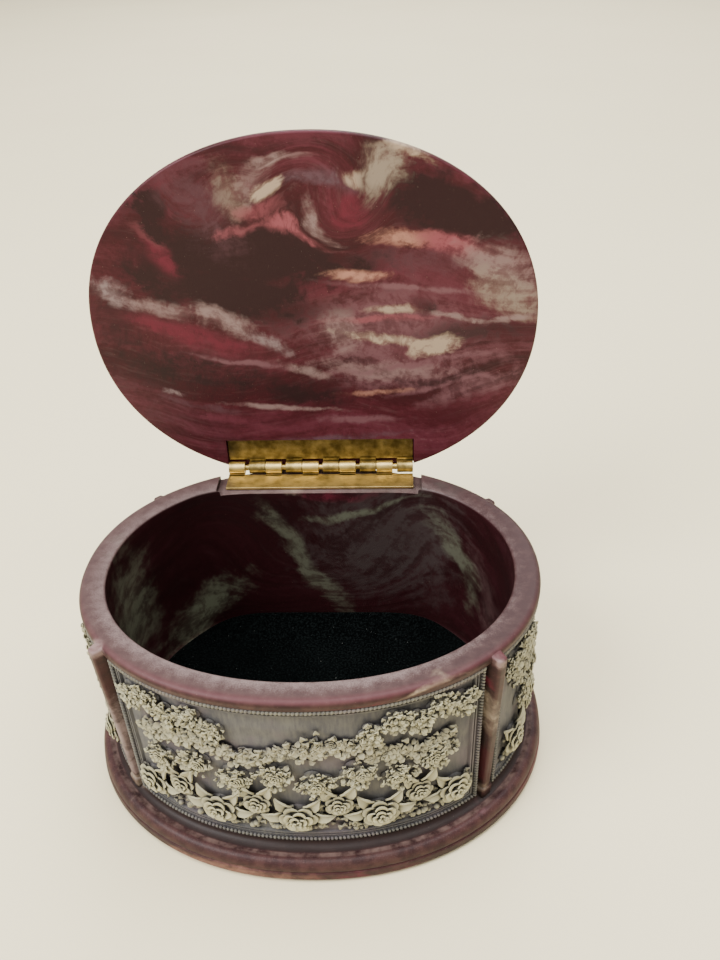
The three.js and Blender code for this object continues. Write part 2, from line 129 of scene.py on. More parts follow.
class Paint:
    """A material whose nodes are added by plain calls."""

    def __init__(self, name, **constants):
        self.material = bpy.data.materials.new(name)
        self.material.use_nodes = True
        self.tree = self.material.node_tree
        self.shader = self.tree.nodes["Principled BSDF"]
        for socket, value in constants.items():
            self.shader.inputs[socket.replace("_", " ")].default_value = value

    def node(self, kind, settings, values, output=0):
        made = self.tree.nodes.new("ShaderNode" + kind)
        for name, value in settings.items():
            if name == "stops":
                self.set_stops(made.color_ramp, value)
            else:
                setattr(made, name, value)
        for name, value in values.items():
            self.plug(made.inputs[name], value)
        return Wire(self, made.outputs[output])

    def set_stops(self, ramp, stops):
        while len(ramp.elements) < len(stops):
            ramp.elements.new(0.5)
        for element, (position, shade) in zip(ramp.elements, stops):
            element.position, element.color = position, shade

    def plug(self, socket, value):
        if isinstance(value, Wire):
            self.tree.links.new(value.socket, socket)
        else:
            socket.default_value = value

    def math(self, operation, first, second=0.0):
        return self.node("Math", {"operation": operation}, {0: first, 1: second})

    def vector(self, operation, first, second):
        return self.node("VectorMath", {"operation": operation}, {0: first, 1: second})

    def mix(self, share, first, second, blend="MIX"):
        settings = {"data_type": "RGBA", "blend_type": blend, "clamp_factor": True}
        return self.node("Mix", settings, {0: share, 6: first, 7: second}, output=2)

    def rise(self, value, low, high):
        """A soft step: 0 below low, 1 above high."""
        settings = {"interpolation_type": "SMOOTHSTEP"}
        return self.node("MapRange", settings, {0: value, 1: low, 2: high})

    def noise(self, place, scale, detail=3.0, roughness=0.55, output=0):
        values = {"Vector": place, "Scale": scale, "Detail": detail, "Roughness": roughness}
        return self.node("TexNoise", {}, values, output)

    def place(self, stretch=(1, 1, 1), shift=(0, 0, 0)):
        """Object coordinates in millimetres, stretched and shifted."""
        spot = self.node("TexCoord", {}, {}, output=3)
        scale = tuple(factor / MM for factor in stretch)
        return self.node("Mapping", {}, {"Vector": spot, "Scale": scale, "Location": shift})

    def bump(self, height, strength, distance):
        values = {"Height": height, "Strength": strength, "Distance": distance * MM}
        self.plug(self.shader.inputs["Normal"], self.node("Bump", {}, values))

    def finish(self, **sockets):
        for name, value in sockets.items():
            self.plug(self.shader.inputs[name.replace("_", " ")], value)
        return self.material


def colour(red, green, blue):
    """A screen colour from 0 to 255 as the linear colour that a shader mixes."""
    parts = [part / 255 for part in (red, green, blue)]
    linear = [part / 12.92 if part < 0.04045 else ((part + 0.055) / 1.055) ** 2.4 for part in parts]
    return (*linear, 1.0)


print("screen grey 128 is", round(colour(128, 128, 128)[0], 3), "for a shader")

# %% [markdown]
# ## The oval
# Rim, plinth and lid are not ellipses: their shoulders are a little fuller. A power curve
# with 2.11 in place of 2 follows them, and each moulding is a row of such ovals, one per
# level of its profile. A profile is spun round and every level is then set on its oval.

# %% Ovals, levels and spun mouldings
OVAL_POWER = 2.11
RIM = (68, 53.5, 0)
PLINTH = (73.4, 60.4, 0)
LID = (70.65, 57, -1.6)
FAR = 1000

Level = namedtuple("Level", "half_width half_depth centre_y z back")


def level(oval, inset, z, back=FAR):
    """One level of a moulding: an oval made smaller by an inset, at a height."""
    half_width, half_depth, centre_y = oval
    return Level(half_width - inset, half_depth - inset, centre_y, z, back)


def oval_place(ring, angle):
    """A place on a level of a moulding, with the flat back of the hollow eased in."""
    across, along = math.cos(angle), math.sin(angle)
    x = ring.half_width * math.copysign(abs(across) ** (2 / OVAL_POWER), across)
    y = ring.half_depth * math.copysign(abs(along) ** (2 / OVAL_POWER), along)
    ease = 5
    near = max(ease - abs(y - ring.back), 0) / ease
    y = min(y, ring.back) - near * near * ease / 4
    return Vector((x, y + ring.centre_y, ring.z))


def oval_share(across, along, oval, inset):
    """How far out a place lies, for numbers or wires: 1 on the oval, less inside it."""
    half_width, half_depth, _ = oval
    return abs(across / (half_width - inset)) ** OVAL_POWER + abs(along / (half_depth - inset)) ** OVAL_POWER


def between(start, end, across, up):
    """A level part of the way from one to another, in width and in height."""
    width = start.half_width + (end.half_width - start.half_width) * across
    depth = start.half_depth + (end.half_depth - start.half_depth) * across
    back = start.back + (end.back - start.back) * across
    return Level(width, depth, start.centre_y, start.z + (end.z - start.z) * up, back)


def quarter_round(start, end, steps, hollow=False):
    """Levels of a quarter round that leaves upright and arrives level, or the other way."""
    levels = []
    for step in range(1, steps + 1):
        turn = step / steps * math.pi / 2
        swell, climb = 1 - math.cos(turn), math.sin(turn)
        levels.append(between(start, end, climb, swell) if hollow else between(start, end, swell, climb))
    return levels


def softened(levels, radius):
    """The same profile with each corner worn to a small curve."""
    worn = [levels[0]]
    for before, corner, after in zip(levels, levels[1:], levels[2:]):
        sides = []
        for other in (before, after):
            span = math.hypot(other.half_width - corner.half_width, other.z - corner.z)
            sides.append(between(corner, other, *(2 * [min(radius / max(span, 1e-6), 0.4)])))
        first, last = sides
        for share in (0.0, 0.5, 1.0):
            start = between(first, corner, share, share)
            worn.append(between(start, between(corner, last, share, share), share, share))
    return worn + [levels[-1]]


def spun(levels, steps=240):
    """A moulding carried round its oval, its open ends closed by flat faces."""
    form = bmesh.new()
    chain = [form.verts.new((1, 0, row)) for row in range(len(levels))]
    edges = [form.edges.new(pair) for pair in zip(chain, chain[1:])]
    bmesh.ops.spin(form, geom=chain + edges, cent=(0, 0, 0), axis=(0, 0, 1), angle=2 * math.pi,
                   steps=steps, use_merge=True)
    bmesh.ops.remove_doubles(form, verts=form.verts, dist=1e-5)
    for vert in form.verts:
        ring = levels[round(vert.co.z)]
        vert.co = oval_place(ring, math.atan2(vert.co.y, vert.co.x))
    bmesh.ops.holes_fill(form, edges=form.edges, sides=0)
    bmesh.ops.recalc_face_normals(form, faces=form.faces)
    return form


print("rim", 2 * RIM[0], "by", 2 * RIM[1], "mm, foot", 2 * PLINTH[0], "by", 2 * PLINTH[1], "mm")

# %% [markdown]
# ## Marbled stone
# The real stone is poured: dark maroon, burgundy, pink, grey and cream run into one another
# and are pulled into long streaks before they set. Plain noise gives round clouds, so the
# coordinates are carried along by a swirl and stretched before the noise is read, which
# pulls the clouds into streams. Streams that show clearly on the real box are painted over
# that as strokes: long ellipsoids of one colour each, whose edges fray along the streams.

# %% The palette of the stone
UMBER = colour(38, 17, 20)
PLUM = colour(34, 17, 19)
MAROON = colour(54, 16, 22)
BURGUNDY = colour(69, 25, 33)
CRIMSON = colour(92, 29, 43)
ROSE = colour(85, 38, 48)
MAUVE = colour(74, 45, 51)
DUSTY = colour(103, 69, 74)
PINK = colour(128, 67, 74)
BLUSH = colour(158, 112, 96)
LILAC = colour(84, 64, 71)
MOSS = colour(104, 108, 90)
DUSK = colour(60, 50, 49)
PALE = colour(126, 104, 101)
SAGE = colour(130, 116, 102)
CREAM = colour(156, 136, 116)
FROST = colour(124, 106, 106)
WARM_STOPS = [(0.0, UMBER), (0.3, MAROON), (0.5, BURGUNDY), (0.68, ROSE), (0.84, DUSTY), (1.0, PALE)]

CALM = 1.5  # a stroke with this cover or more has no holes

Stroke = namedtuple("Stroke", "colour centre size lean cover")
Eddy = namedtuple("Eddy", "centre reach turn")


def swayed(paint, place, scale, reach, detail=1):
    """A place pushed to and fro by a noise of its own."""
    sway = paint.noise(place, scale, detail=detail, output=1)
    sway = paint.vector("SUBTRACT", sway, (0.5, 0.5, 0.5))
    return paint.vector("ADD", place, paint.vector("MULTIPLY", sway, (reach, reach, reach * 0.6)))


def turned(paint, place, eddy):
    """A place turned about the middle of an eddy, and less so towards its edge."""
    values = {"Vector": place, "Location": eddy.centre, "Scale": (eddy.reach, FAR, eddy.reach)}
    local = paint.node("Mapping", {"vector_type": "TEXTURE"}, values)
    length = paint.node("VectorMath", {"operation": "LENGTH"}, {0: local}, output=1)
    values = {"Vector": place, "Center": eddy.centre, "Angle": paint.rise(1 - length, 0.0, 0.8) * eddy.turn}
    return paint.node("VectorRotate", {"rotation_type": "Y_AXIS"}, values)


def poured(paint, eddies, seed, depth):
    """The stone before its single streams: its colour, its streaks and how strokes fray."""
    spot = paint.place()
    for eddy in eddies:
        spot = turned(paint, spot, eddy)
    spot = paint.vector("ADD", spot, (seed, 2 * seed, 0))
    carried = swayed(paint, swayed(paint, spot, 0.014, 36), 0.05, 8)
    stretched = paint.vector("MULTIPLY", carried, (0.1, 0.3, 1))
    broad = paint.noise(stretched, 0.06, detail=2) - 0.5
    streaks = paint.noise(stretched, 0.22, detail=4, roughness=0.6) - 0.5
    fine = paint.noise(stretched, 0.9, detail=3, roughness=0.6) - 0.5
    mottle = paint.noise(carried, 0.5, detail=5, roughness=0.65) - 0.5
    tone = depth + broad * 1.2 + streaks * 0.7 + mottle * 0.5 + fine * 0.1
    stone = paint.node("ValToRGB", {"stops": WARM_STOPS}, {0: tone})
    return paint.mix(paint.rise(fine, 0.0, 0.3) * 0.1, stone, PALE), streaks, fine


def painted(paint, stone, strokes, eddy, streaks, fine):
    """Single streams painted over the stone, frayed by its streaks."""
    near = swayed(paint, swayed(paint, paint.place(), 0.045, 10), 0.16, 4, detail=2)
    near = turned(paint, near, eddy._replace(turn=eddy.turn * 0.5))
    cloud = paint.noise(near, 0.22, detail=5, roughness=0.55) - 0.5
    mottle = paint.noise(near, 0.7, detail=4, roughness=0.65) - 0.5
    fray = streaks * 1.1 + fine * 0.1 + cloud * 1.1 + mottle * 0.5
    weave = 0.5 + 0.5 * paint.rise(streaks * 0.7 + cloud * 0.9 + mottle * 0.6, -0.15, 0.12)
    for stroke in strokes:
        values = {"Vector": near, "Location": stroke.centre, "Scale": stroke.size}
        values["Rotation"] = (0, math.radians(-stroke.lean), 0)
        local = paint.node("Mapping", {"vector_type": "TEXTURE"}, values)
        length = paint.node("VectorMath", {"operation": "LENGTH"}, {0: local}, output=1)
        cover = paint.rise(1.3 - length + fray, 0.0, 1.1) * stroke.cover
        if stroke.cover < CALM:
            cover = cover * weave
        stone = paint.mix(cover, stone, stroke.colour)
    return stone


LID_FACE = 55
DEEP = 20
LID_STREAMS = [
    # colour, across, up, half length, half breadth, lean and cover
    (MAUVE, -49, 90, 31, 10, -28, 0.35),
    (ROSE, -16, 85, 29, 5, 3, 0.6),
    (ROSE, 45, 131, 39, 24, -5, 0.7),
    (DUSTY, 25, 117, 36, 15, -12, 0.8),
    (CRIMSON, 1, 134, 16, 8, 8, 1.0),
    (DUSTY, 28, 103, 26, 7, -4, 0.7),
    (MAUVE, 34, 140, 19, 4.4, -6, 0.7),
    (UMBER, -16, 142, 38, 12, -4, 1.5),
    (UMBER, -24, 131, 30, 9, -13, 1.5),
    (UMBER, 44, 155, 27, 9, -24, 1.5),
    (PLUM, 51, 117, 20, 4.4, 5, 0.8),
    (PLUM, -37, 105, 27, 5.8, -12, 0.9),
    (PLUM, -4, 97, 18, 5, -13, 0.9),
    (MAROON, 39, 96, 20, 2.2, 9, 0.9),
    (MAROON, 44, 87, 19, 5.8, 9, 0.7),
    (MAROON, -53, 137, 9, 6, -42, 0.8),
    (ROSE, -41, 165, 19, 3.6, 34, 0.7),
    (ROSE, -7, 175, 22, 3.6, 4, 0.7),
    (CRIMSON, -45, 144, 10, 3.4, -62, 0.9),
    (PINK, -48, 150, 6, 2.2, -50, 0.6),
    (PLUM, -62, 120, 7, 11, 10, 0.7),
    (PLUM, -50, 104, 13, 6, -20, 0.7),
    (UMBER, -45, 156, 11, 7, -62, 1.4),
    (UMBER, -47, 134, 14, 5, -24, 1.4),
    (MAUVE, -30, 157, 15, 9, -53, 0.9),
    (SAGE, -22, 161, 9, 6, -60, 0.5),
    (PINK, -21, 150, 9, 1.8, 12, 0.6),
    (PALE, -10, 169, 7, 1.8, -1, 0.9),
    (PINK, 1, 148, 13, 2.0, -14, 1.2),
    (LILAC, 0, 163, 14, 3, 20, 0.9),
    (PALE, 8, 151, 8, 2.6, -33, 0.9),
    (CRIMSON, 13, 160, 8, 4.4, -18, 0.8),
    (PINK, -14, 155, 9, 2.6, -12, 0.6),
    (ROSE, -4, 166, 7, 5, 20, 0.6),
    (CREAM, 11, 168, 7, 1.8, 13, 0.8),
    (PALE, -16, 164, 5, 6, -30, 0.5),
    (CREAM, -11, 160, 2.4, 4.4, 45, 1.4),
    (SAGE, 23, 169, 8, 7, -5, 1.0),
    (CREAM, 31, 172, 8, 1.8, -26, 1.0),
    (BLUSH, 29, 148, 11, 2.9, -9, 0.9),
    (PINK, 44, 145, 12, 3.2, -18, 1.0),
    (PALE, 59, 136, 14, 6.5, -29, 0.8),
    (SAGE, 61, 129, 13, 6, -25, 0.8),
    (BLUSH, 16, 135, 11, 2, -3, 1.0),
    (DUSTY, 30, 131, 24, 1.0, -4, 1.0),
    (PINK, 20, 121, 18, 1.2, 3, 0.8),
    (PALE, 8, 118, 6, 6, -20, 0.7),
    (CREAM, 25, 124, 9, 1.5, 2, 0.9),
    (PLUM, 35, 125, 4, 2.6, -8, 1.0),
    (PALE, 46, 121.5, 12, 1.1, -10, 0.8),
    (PALE, 62, 121.5, 9, 1.1, 16, 0.8),
    (CREAM, 25, 115, 19, 1.5, -7, 1.4),
    (CREAM, 39, 112, 9, 3.2, 2, 1.4),
    (PALE, 22, 105, 22, 3.4, -6, 0.6),
    (DUSTY, 34, 107, 26, 1.2, 5, 0.9),
    (BLUSH, 19, 97, 13, 1.2, 1, 0.6),
    (DUSTY, 44, 99, 20, 1.0, 12, 0.8),
    (FROST, -61, 131, 7, 3.6, -30, 0.9),
    (PALE, -47, 126, 14, 2.6, -13, 0.75),
    (PALE, -28, 121.5, 12, 3.6, -25, 1.0),
    (FROST, -15, 114, 9, 2.6, -26, 0.8),
    (CRIMSON, -40, 117, 24, 3.2, -15, 0.85),
    (PALE, -5, 105, 10, 1.6, -15, 0.8),
    (FROST, -47, 98, 5, 1.2, -11, 0.7),
    (PALE, -10, 92, 21, 1.1, -4, 0.8),
    (DUSTY, -24, 108, 15, 1.0, -9, 0.9),
    (MAUVE, -40, 93, 16, 1.2, -14, 0.9),
    (ROSE, -28, 87, 22, 1.8, -12, 0.9),
    (DUSTY, 14, 87, 18, 1.4, -2, 0.8),
    (LILAC, 4, 80, 24, 1.6, 2, 0.7),
    (DUSTY, 52, 98, 18, 3.4, 21, 0.8),
]
LID_STROKES = [Stroke(shade, (across, LID_FACE, up), (length, DEEP, breadth), lean, cover)
               for shade, across, up, length, breadth, lean, cover in LID_STREAMS]
LID_EDDIES = [
    Eddy((6, LID_FACE, 159), 22, -1.6),
    Eddy((-26, LID_FACE, 158), 20, 0.7),
    Eddy((-46, LID_FACE, 118), 62, -0.42),
    Eddy((48, LID_FACE, 150), 46, -0.5),
    Eddy((50, LID_FACE, 96), 40, 0.4),
]
BODY_STROKES = [
    Stroke(DUSK, (26, 39, 46), (34, 14, 26), 0, 1.0),
    Stroke(MOSS, (-8, 39, 40), (32, 14, 4), -62, 0.5),
    Stroke(MOSS, (16, 39, 60), (22, 14, 1.8), 6, 0.6),
    Stroke(MOSS, (-59, 4, 42), (9, 14, 24), 0, 0.6),
    Stroke(MOSS, (-40, 28, 22), (20, 13, 9), 30, 0.9),
    Stroke(MOSS, (46, 31, 40), (6, 10, 22), 20, 0.5),
    Stroke(PALE, (54, 20, 36), (4, 12, 24), 15, 0.15),
    Stroke(SAGE, (-8, 42, 67.5), (6, 6, 2), 0, 1.0),
    Stroke(CRIMSON, (8, 38, 67), (14, 2, 2), 0, 0.8),
    Stroke(CREAM, (10, -53.5, 65.6), (8, 3, 1.0), 3, 1.3),
    Stroke(CREAM, (40, -46.5, 65.2), (12, 6, 1.2), 0, 0.9),
    Stroke(CRIMSON, (24, -51, 67), (12, 4, 1.5), 0, 0.7),
    Stroke(PALE, (54, -38.5, 66.5), (3, 3.5, 2.6), 0, 1.3),
    Stroke(CRIMSON, (50, -38, 54), (4, 9, 2.5), 0, 1.0),
    Stroke(SAGE, (50, -38, 42), (4, 9, 8), 0, 1.1),
    Stroke(MAROON, (50, -38, 22), (4, 9, 8), 0, 1.4),
    Stroke(SAGE, (49, -40, 11), (5, 8, 2), 0, 1.2),
    Stroke(DUSTY, (51, -43, 8), (4, 5, 1.5), 0, 1.0),
    Stroke(PALE, (-57, -36, 66), (3, 6, 1.8), 0, 1.4),
    Stroke(MAROON, (-57, -36, 54), (5, 9, 9), 0, 0.8),
    Stroke(FROST, (-56, -35, 28), (6, 9, 18), 0, 1.0),
    Stroke(SAGE, (-55, -38, 11), (7, 9, 3), 0, 1.0),
    Stroke(BLUSH, (-22, -58, 1.5), (30, 12, 2.2), 0, 0.5),
    Stroke(CRIMSON, (20, -60, 2), (18, 12, 2.2), 0, 0.8),
    Stroke(CRIMSON, (70, -16, 2.5), (8, 34, 2.6), 0, 0.7),
]
BODY_EDDIES = [Eddy((24, 39, 44), 42, 0.9), Eddy((-30, 39, 40), 36, -0.9)]
print(len(LID_STROKES), "streams on the lid,", len(BODY_STROKES), "on the body")


def finished(paint, stone, streaks, grain, dull):
    """The last coat of every marbled stone: a few specks of dust and a low grain."""
    dust = paint.rise(paint.noise(paint.place(), 3.2, detail=1), 0.78, 0.82)
    paint.bump(grain + streaks * 0.5, 0.12, 0.3)
    dusty = paint.mix(dust * 0.6, stone, CREAM)
    return paint.finish(Base_Color=dusty, Roughness=0.36 + 0.16 * grain + dull)


class Spot:
    """Where a place on the body lies, as wires that its wear and its painted light and shade are worked out
    from.
    """

    def __init__(self, paint):
        place = paint.place()
        self.across, self.along, self.height = (
            paint.node("SeparateXYZ", {}, {0: place}, output=axis) for axis in range(3))
        facing = paint.node("TexCoord", {}, {}, output=1)
        self.up = paint.node("SeparateXYZ", {}, {0: facing}, output=2)
        self.hollow = oval_share(self.across, self.along, RIM, 7)
        self.foot = oval_share(self.across, self.along, PLINTH, 4.4)
        self.inside = 1 - paint.rise(self.hollow, 0.98, 1.02)
        self.right = paint.rise(self.across, 10.0, 70.0)
        self.low = 1 - paint.rise(self.height, 9.2, 9.6)
        self.cove = self.low * (1 - paint.rise(self.foot, 0.97, 1.0))
        self.top = paint.rise(self.up, 0.3, 0.95) * paint.rise(self.height, 65.0, 66.0)
        self.grain = paint.noise(place, 2.4, detail=4)
        self.cloud = paint.noise(place, 0.09, detail=3)
        self.patches = paint.noise(place, 0.35, detail=5)
        self.speck = paint.noise(place, 2.6, detail=3, roughness=0.75)


def toned_and_shaded(paint, stone, spot):
    """Darker in the hollow and darkest in corners, in the cove and in the groove, all painted shade; browner
    outside; and a paler line on the ridge, partly worn and partly a painted highlight.
    """
    outside = 1 - spot.inside
    # Painted shade: the hollow is darkened where its walls keep the light out.
    stone = paint.mix(spot.inside * 0.7, stone, colour(26, 11, 11))
    mottle = paint.rise(spot.patches * 0.7 + spot.cloud * 0.3, 0.38, 0.62)
    stone = paint.mix(outside * 0.75, stone, paint.mix(mottle, colour(36, 21, 21), colour(64, 42, 39)))
    # Painted shade: the outside is darkened in corners and beside the panels, where little light reaches.
    shade = paint.node("AmbientOcclusion", {"samples": 6}, {"Distance": 8 * MM}, output=1)
    painted_corner_shade = outside * (1 - paint.rise(shade, 0.45, 0.85))
    stone = paint.mix(painted_corner_shade * 0.85, stone, colour(22, 12, 13))
    # Painted shade: the cove under the panels is darkened.
    stone = paint.mix(spot.cove * 0.8, stone, colour(30, 20, 18))
    # Painted shade: the groove low on the plinth is darkened.
    groove = paint.rise(spot.height, 3.6, 3.9) * (1 - paint.rise(spot.height, 4.2, 4.7)) * outside
    # A paler line along the ridge at the top of the ovolo: partly a worn edge, partly a painted highlight.
    ridge = spot.low * paint.rise(spot.foot, 0.985, 1.0) * (1 - paint.rise(spot.foot, 1.03, 1.06))
    ridge = ridge * paint.rise(spot.patches, 0.3, 0.7)
    stone = paint.mix(ridge * 0.7, stone, colour(112, 92, 86))
    # The painted shade in the groove.
    return paint.mix(groove * 0.6, stone, MAROON)


def rim_rubbed_lit_and_shaded(paint, stone, spot):
    """The rim: paler on its upper faces and the ledge, partly rubbed and partly painted light; darker
    towards the right, which is painted shade; redder on its outer slope; and painted shade right under its
    edge.
    """
    # Painted light and shade: upper faces, the ledge among them, are paler, partly from rubbing and partly
    # painted light, and darker towards the right.
    pale = paint.mix(spot.patches - spot.right * 0.5, colour(60, 42, 43), colour(92, 72, 70))
    stone = paint.mix(spot.top * 0.85, stone, pale)
    slope = spot.top * paint.rise(spot.hollow, 1.18, 1.32) * (1 - paint.rise(spot.along, -30.0, 10.0))
    stone = paint.mix(slope * 0.45, stone, CRIMSON)
    # Painted shade: the band is darkened just under the rim's outer edge.
    under = paint.rise(spot.height, 64.9, 65.3) * (1 - paint.rise(spot.height, 65.6, 66.3))
    return paint.mix(under * (1 - spot.inside) * 0.4, stone, MAROON)


def hazed_and_sheened(paint, stone, spot):
    """Fine scratches that whiten the rim next to the hollow, and the plinth's upper faces; on the rim a
    painted reflection makes the haze stronger at the front and left and weaker to the right.
    """
    inner = 1 - paint.rise(spot.hollow, 1.0, 1.25)
    # Painted reflection: the haze is made weaker to the right here and stronger at the front below.
    scratched = spot.speck * 0.6 + spot.patches * 0.4 + inner * 0.3 - spot.right * 0.16
    haze_and_sheen = spot.top * paint.rise(scratched, 0.55, 0.98)
    haze_and_sheen = haze_and_sheen * (0.5 + 0.5 * (1 - paint.rise(spot.along, -45.0, 0.0)))
    stone = paint.mix(haze_and_sheen * 0.75, stone, colour(136, 120, 118))
    scuff = paint.rise(spot.up, 0.05, 0.9) * spot.low * (1 - spot.cove) * paint.rise(spot.speck, 0.5, 0.8)
    return paint.mix(scuff * 0.3, stone, FROST), haze_and_sheen


def worn_and_shaded_stone():
    """The body's stone: painted shade in the hollow and its corners, duller outside, and paler along the
    rim, partly rubbed and partly painted light.
    """
    paint = Paint("worn_and_shaded_stone", Coat_Weight=0.04, Coat_Roughness=0.25, Specular_IOR_Level=0.22)
    spot = Spot(paint)
    stone, streaks, fine = poured(paint, BODY_EDDIES, 40, 0.36)
    stone = rim_rubbed_lit_and_shaded(paint, toned_and_shaded(paint, stone, spot), spot)
    stone = painted(paint, stone, BODY_STROKES, BODY_EDDIES[0], streaks, fine)
    stone, haze_and_sheen = hazed_and_sheened(paint, stone, spot)
    return finished(paint, stone, streaks, spot.grain, haze_and_sheen * 0.3 + (1 - spot.inside) * 0.1)


def polished_stone():
    """The lid's stone, polished all over."""
    paint = Paint("polished_stone", Coat_Weight=0.04, Coat_Roughness=0.2, Specular_IOR_Level=0.16)
    stone, streaks, fine = poured(paint, LID_EDDIES, 11, 0.4)
    stone = painted(paint, stone, LID_STROKES, LID_EDDIES[0], streaks, fine)
    return finished(paint, stone, streaks, paint.noise(paint.place(), 2.4, detail=4), 0.0)


# %% [markdown]
# ## Finished pieces
# A shape becomes a piece when it has its name, its finish, the body that it moves with and
# the solid that it stands for. Lid pieces are modelled closed and tipped open about the pin,
# which keeps their mouldings level while they are made.

# %% Making a shape into a piece
PIN_Y = 50.7
PIN_Z = 68.65
OPEN_ANGLE = 94
PIN = Matrix.Translation((0, PIN_Y, PIN_Z))
TIPPED = PIN @ Matrix.Rotation(math.radians(-OPEN_ANGLE), 4, "X") @ PIN.inverted()
SHARP = math.radians(38)


def add(form, other, place=Matrix()):
    """Another shape joined into a form, moved by a matrix."""
    mesh = bpy.data.meshes.new("part")
    other.to_mesh(mesh)
    mesh.transform(place)
    form.from_mesh(mesh)
    bpy.data.meshes.remove(mesh)


def mesh_of(form, name):
    mesh = bpy.data.meshes.new(name)
    form.to_mesh(mesh)
    form.free()
    return mesh


def piece(form, name, node, material, body="box"):
    if body == "lid":
        form.transform(TIPPED)
    form.transform(Matrix.Scale(MM, 4))
    made = bpy.data.objects.new(name, mesh_of(form, name))
    bpy.context.scene.collection.objects.link(made)
    made.data.shade_smooth()
    made.data.set_sharp_from_angle(angle=SHARP)
    made.data.materials.append(material)
    even = made.modifiers.new("even_shading", "WEIGHTED_NORMAL")
    even.keep_sharp = True
    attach(made, body)
    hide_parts(node)
    print(name, len(made.data.polygons), "faces")
    return made


def cut(form, cutter):
    """A form with another taken out of it."""
    whole = bpy.data.objects.new("whole", mesh_of(form, "whole"))
    tool = bpy.data.objects.new("tool", mesh_of(cutter, "tool"))
    for made in (whole, tool):
        bpy.context.scene.collection.objects.link(made)
    taking = whole.modifiers.new("taking", "BOOLEAN")
    taking.object, taking.operation, taking.solver = tool, "DIFFERENCE", "EXACT"
    seen = whole.evaluated_get(bpy.context.evaluated_depsgraph_get())
    left = bmesh.new()
    left.from_mesh(seen.to_mesh())
    for made in (whole, tool):
        bpy.data.meshes.remove(made.data)
    return left


def block(low, high, edge=0.0):
    """A straight-sided block between two corners, its edges eased."""
    form = bmesh.new()
    bmesh.ops.create_cube(form, size=1)
    size = Vector(high) - Vector(low)
    bmesh.ops.scale(form, vec=size, verts=form.verts)
    bmesh.ops.translate(form, vec=Vector(low) + size / 2, verts=form.verts)
    if edge:
        bmesh.ops.bevel(form, geom=form.edges, offset=edge, affect="EDGES", segments=3, profile=0.5,
                        material=-1)
    return form


# %% [markdown]
# ## The stone body
# The body is one casting: plinth, wall, rim and hollow. Its outer profile runs from the foot
# up over the ovolo and the cove to the rim, and on down the inside to the floor, so one spin
# makes the whole shell. The hollow's back is flattened where the hinge ledge lies.

# %% The stone body
FELT = 0.8
GROOVE = 0.8
PLINTH_TOP = 9
RIM_TOP = 68.5
BAND_BOTTOM = 65.5
EDGE = 0.9
RIM_ROUND = 1.7
WALL = 7.7
TAPER = 0.8
FLOOR = 8
FLOOR_CORNER = 3
BACK_WALL = 38.5
SEAT = 4
print("wall", WALL, "mm, hollow", RIM_TOP - FLOOR, "mm deep")


def body_levels():
    """The profile, from under the plinth up the outside, over the rim and down the hollow."""
    ovolo_start = level(PLINTH, GROOVE / 2, 4.5)
    ovolo_end = level(PLINTH, 2.7, 7.7)
    cove_start = level(PLINTH, 4.4, 7.35)
    cove_end = level(RIM, 0.6, PLINTH_TOP)
    outside = [
        level(PLINTH, 6, FELT),
        level(PLINTH, EDGE, FELT),
        *quarter_round(level(PLINTH, EDGE, FELT), level(PLINTH, 0, FELT + EDGE), 4, hollow=True),
        level(PLINTH, 0.2, 3.5),
        level(PLINTH, 0.3, 3.7),
        level(PLINTH, GROOVE, 4.1),
        ovolo_start,
        *quarter_round(ovolo_start, ovolo_end, 9),
        level(PLINTH, 3.1, 7.7),
        cove_start,
        *quarter_round(cove_start, cove_end, 8, hollow=True),
        level(RIM, SEAT, PLINTH_TOP),
        level(RIM, SEAT, BAND_BOTTOM),
        level(RIM, 0.2, BAND_BOTTOM),
    ]
    band = level(RIM, 0, RIM_TOP - RIM_ROUND)
    lip = level(RIM, WALL - EDGE, RIM_TOP, BACK_WALL + EDGE)
    inner_band = level(RIM, WALL, RIM_TOP - EDGE, BACK_WALL)
    wall_foot = level(RIM, WALL + TAPER, FLOOR + FLOOR_CORNER, BACK_WALL)
    floor_edge = level(RIM, WALL + TAPER + FLOOR_CORNER, FLOOR, BACK_WALL - FLOOR_CORNER)
    inside = [
        band,
        *quarter_round(band, level(RIM, RIM_ROUND, RIM_TOP), 7),
        lip,
        *quarter_round(lip, inner_band, 4, hollow=True),
        wall_foot,
        *quarter_round(wall_foot, floor_edge, 4),
    ]
    return softened(outside, 0.35) + inside


def wall_frame(angle):
    """A frame on the wall as seen from outside: x right, y into the wall, z up."""
    here = oval_place(level(RIM, 0, 0), angle)
    along = (oval_place(level(RIM, 0, 0), angle + 0.001) - here).normalized()
    into = Vector((-along.y, along.x, 0))
    frame_on_wall = Matrix((along, into, Vector((0, 0, 1)))).transposed().to_4x4()
    frame_on_wall.translation = here
    return frame_on_wall


WALL_TURN = 2.2
FRONT_LEFT, FRONT_RIGHT, REAR_RIGHT, REAR_LEFT = (
    math.radians(corner - WALL_TURN) for corner in (39 - 180, -39, 37.2, 180 - 37.2))
PILASTERS = [(FRONT_LEFT, 2.8), (FRONT_RIGHT, 2.8), (REAR_RIGHT, 1.6), (REAR_LEFT, 1.6)]
PILASTER_CROWN = 3.0
PILASTER_ROOT = 5.8
PILASTER_DEPTH = 5.2
FOOT_STAND = 0.4
LEDGE_LOW = (-34.5, 37.5, 66.25)
LEDGE_HIGH = (34.5, FAR, FAR)


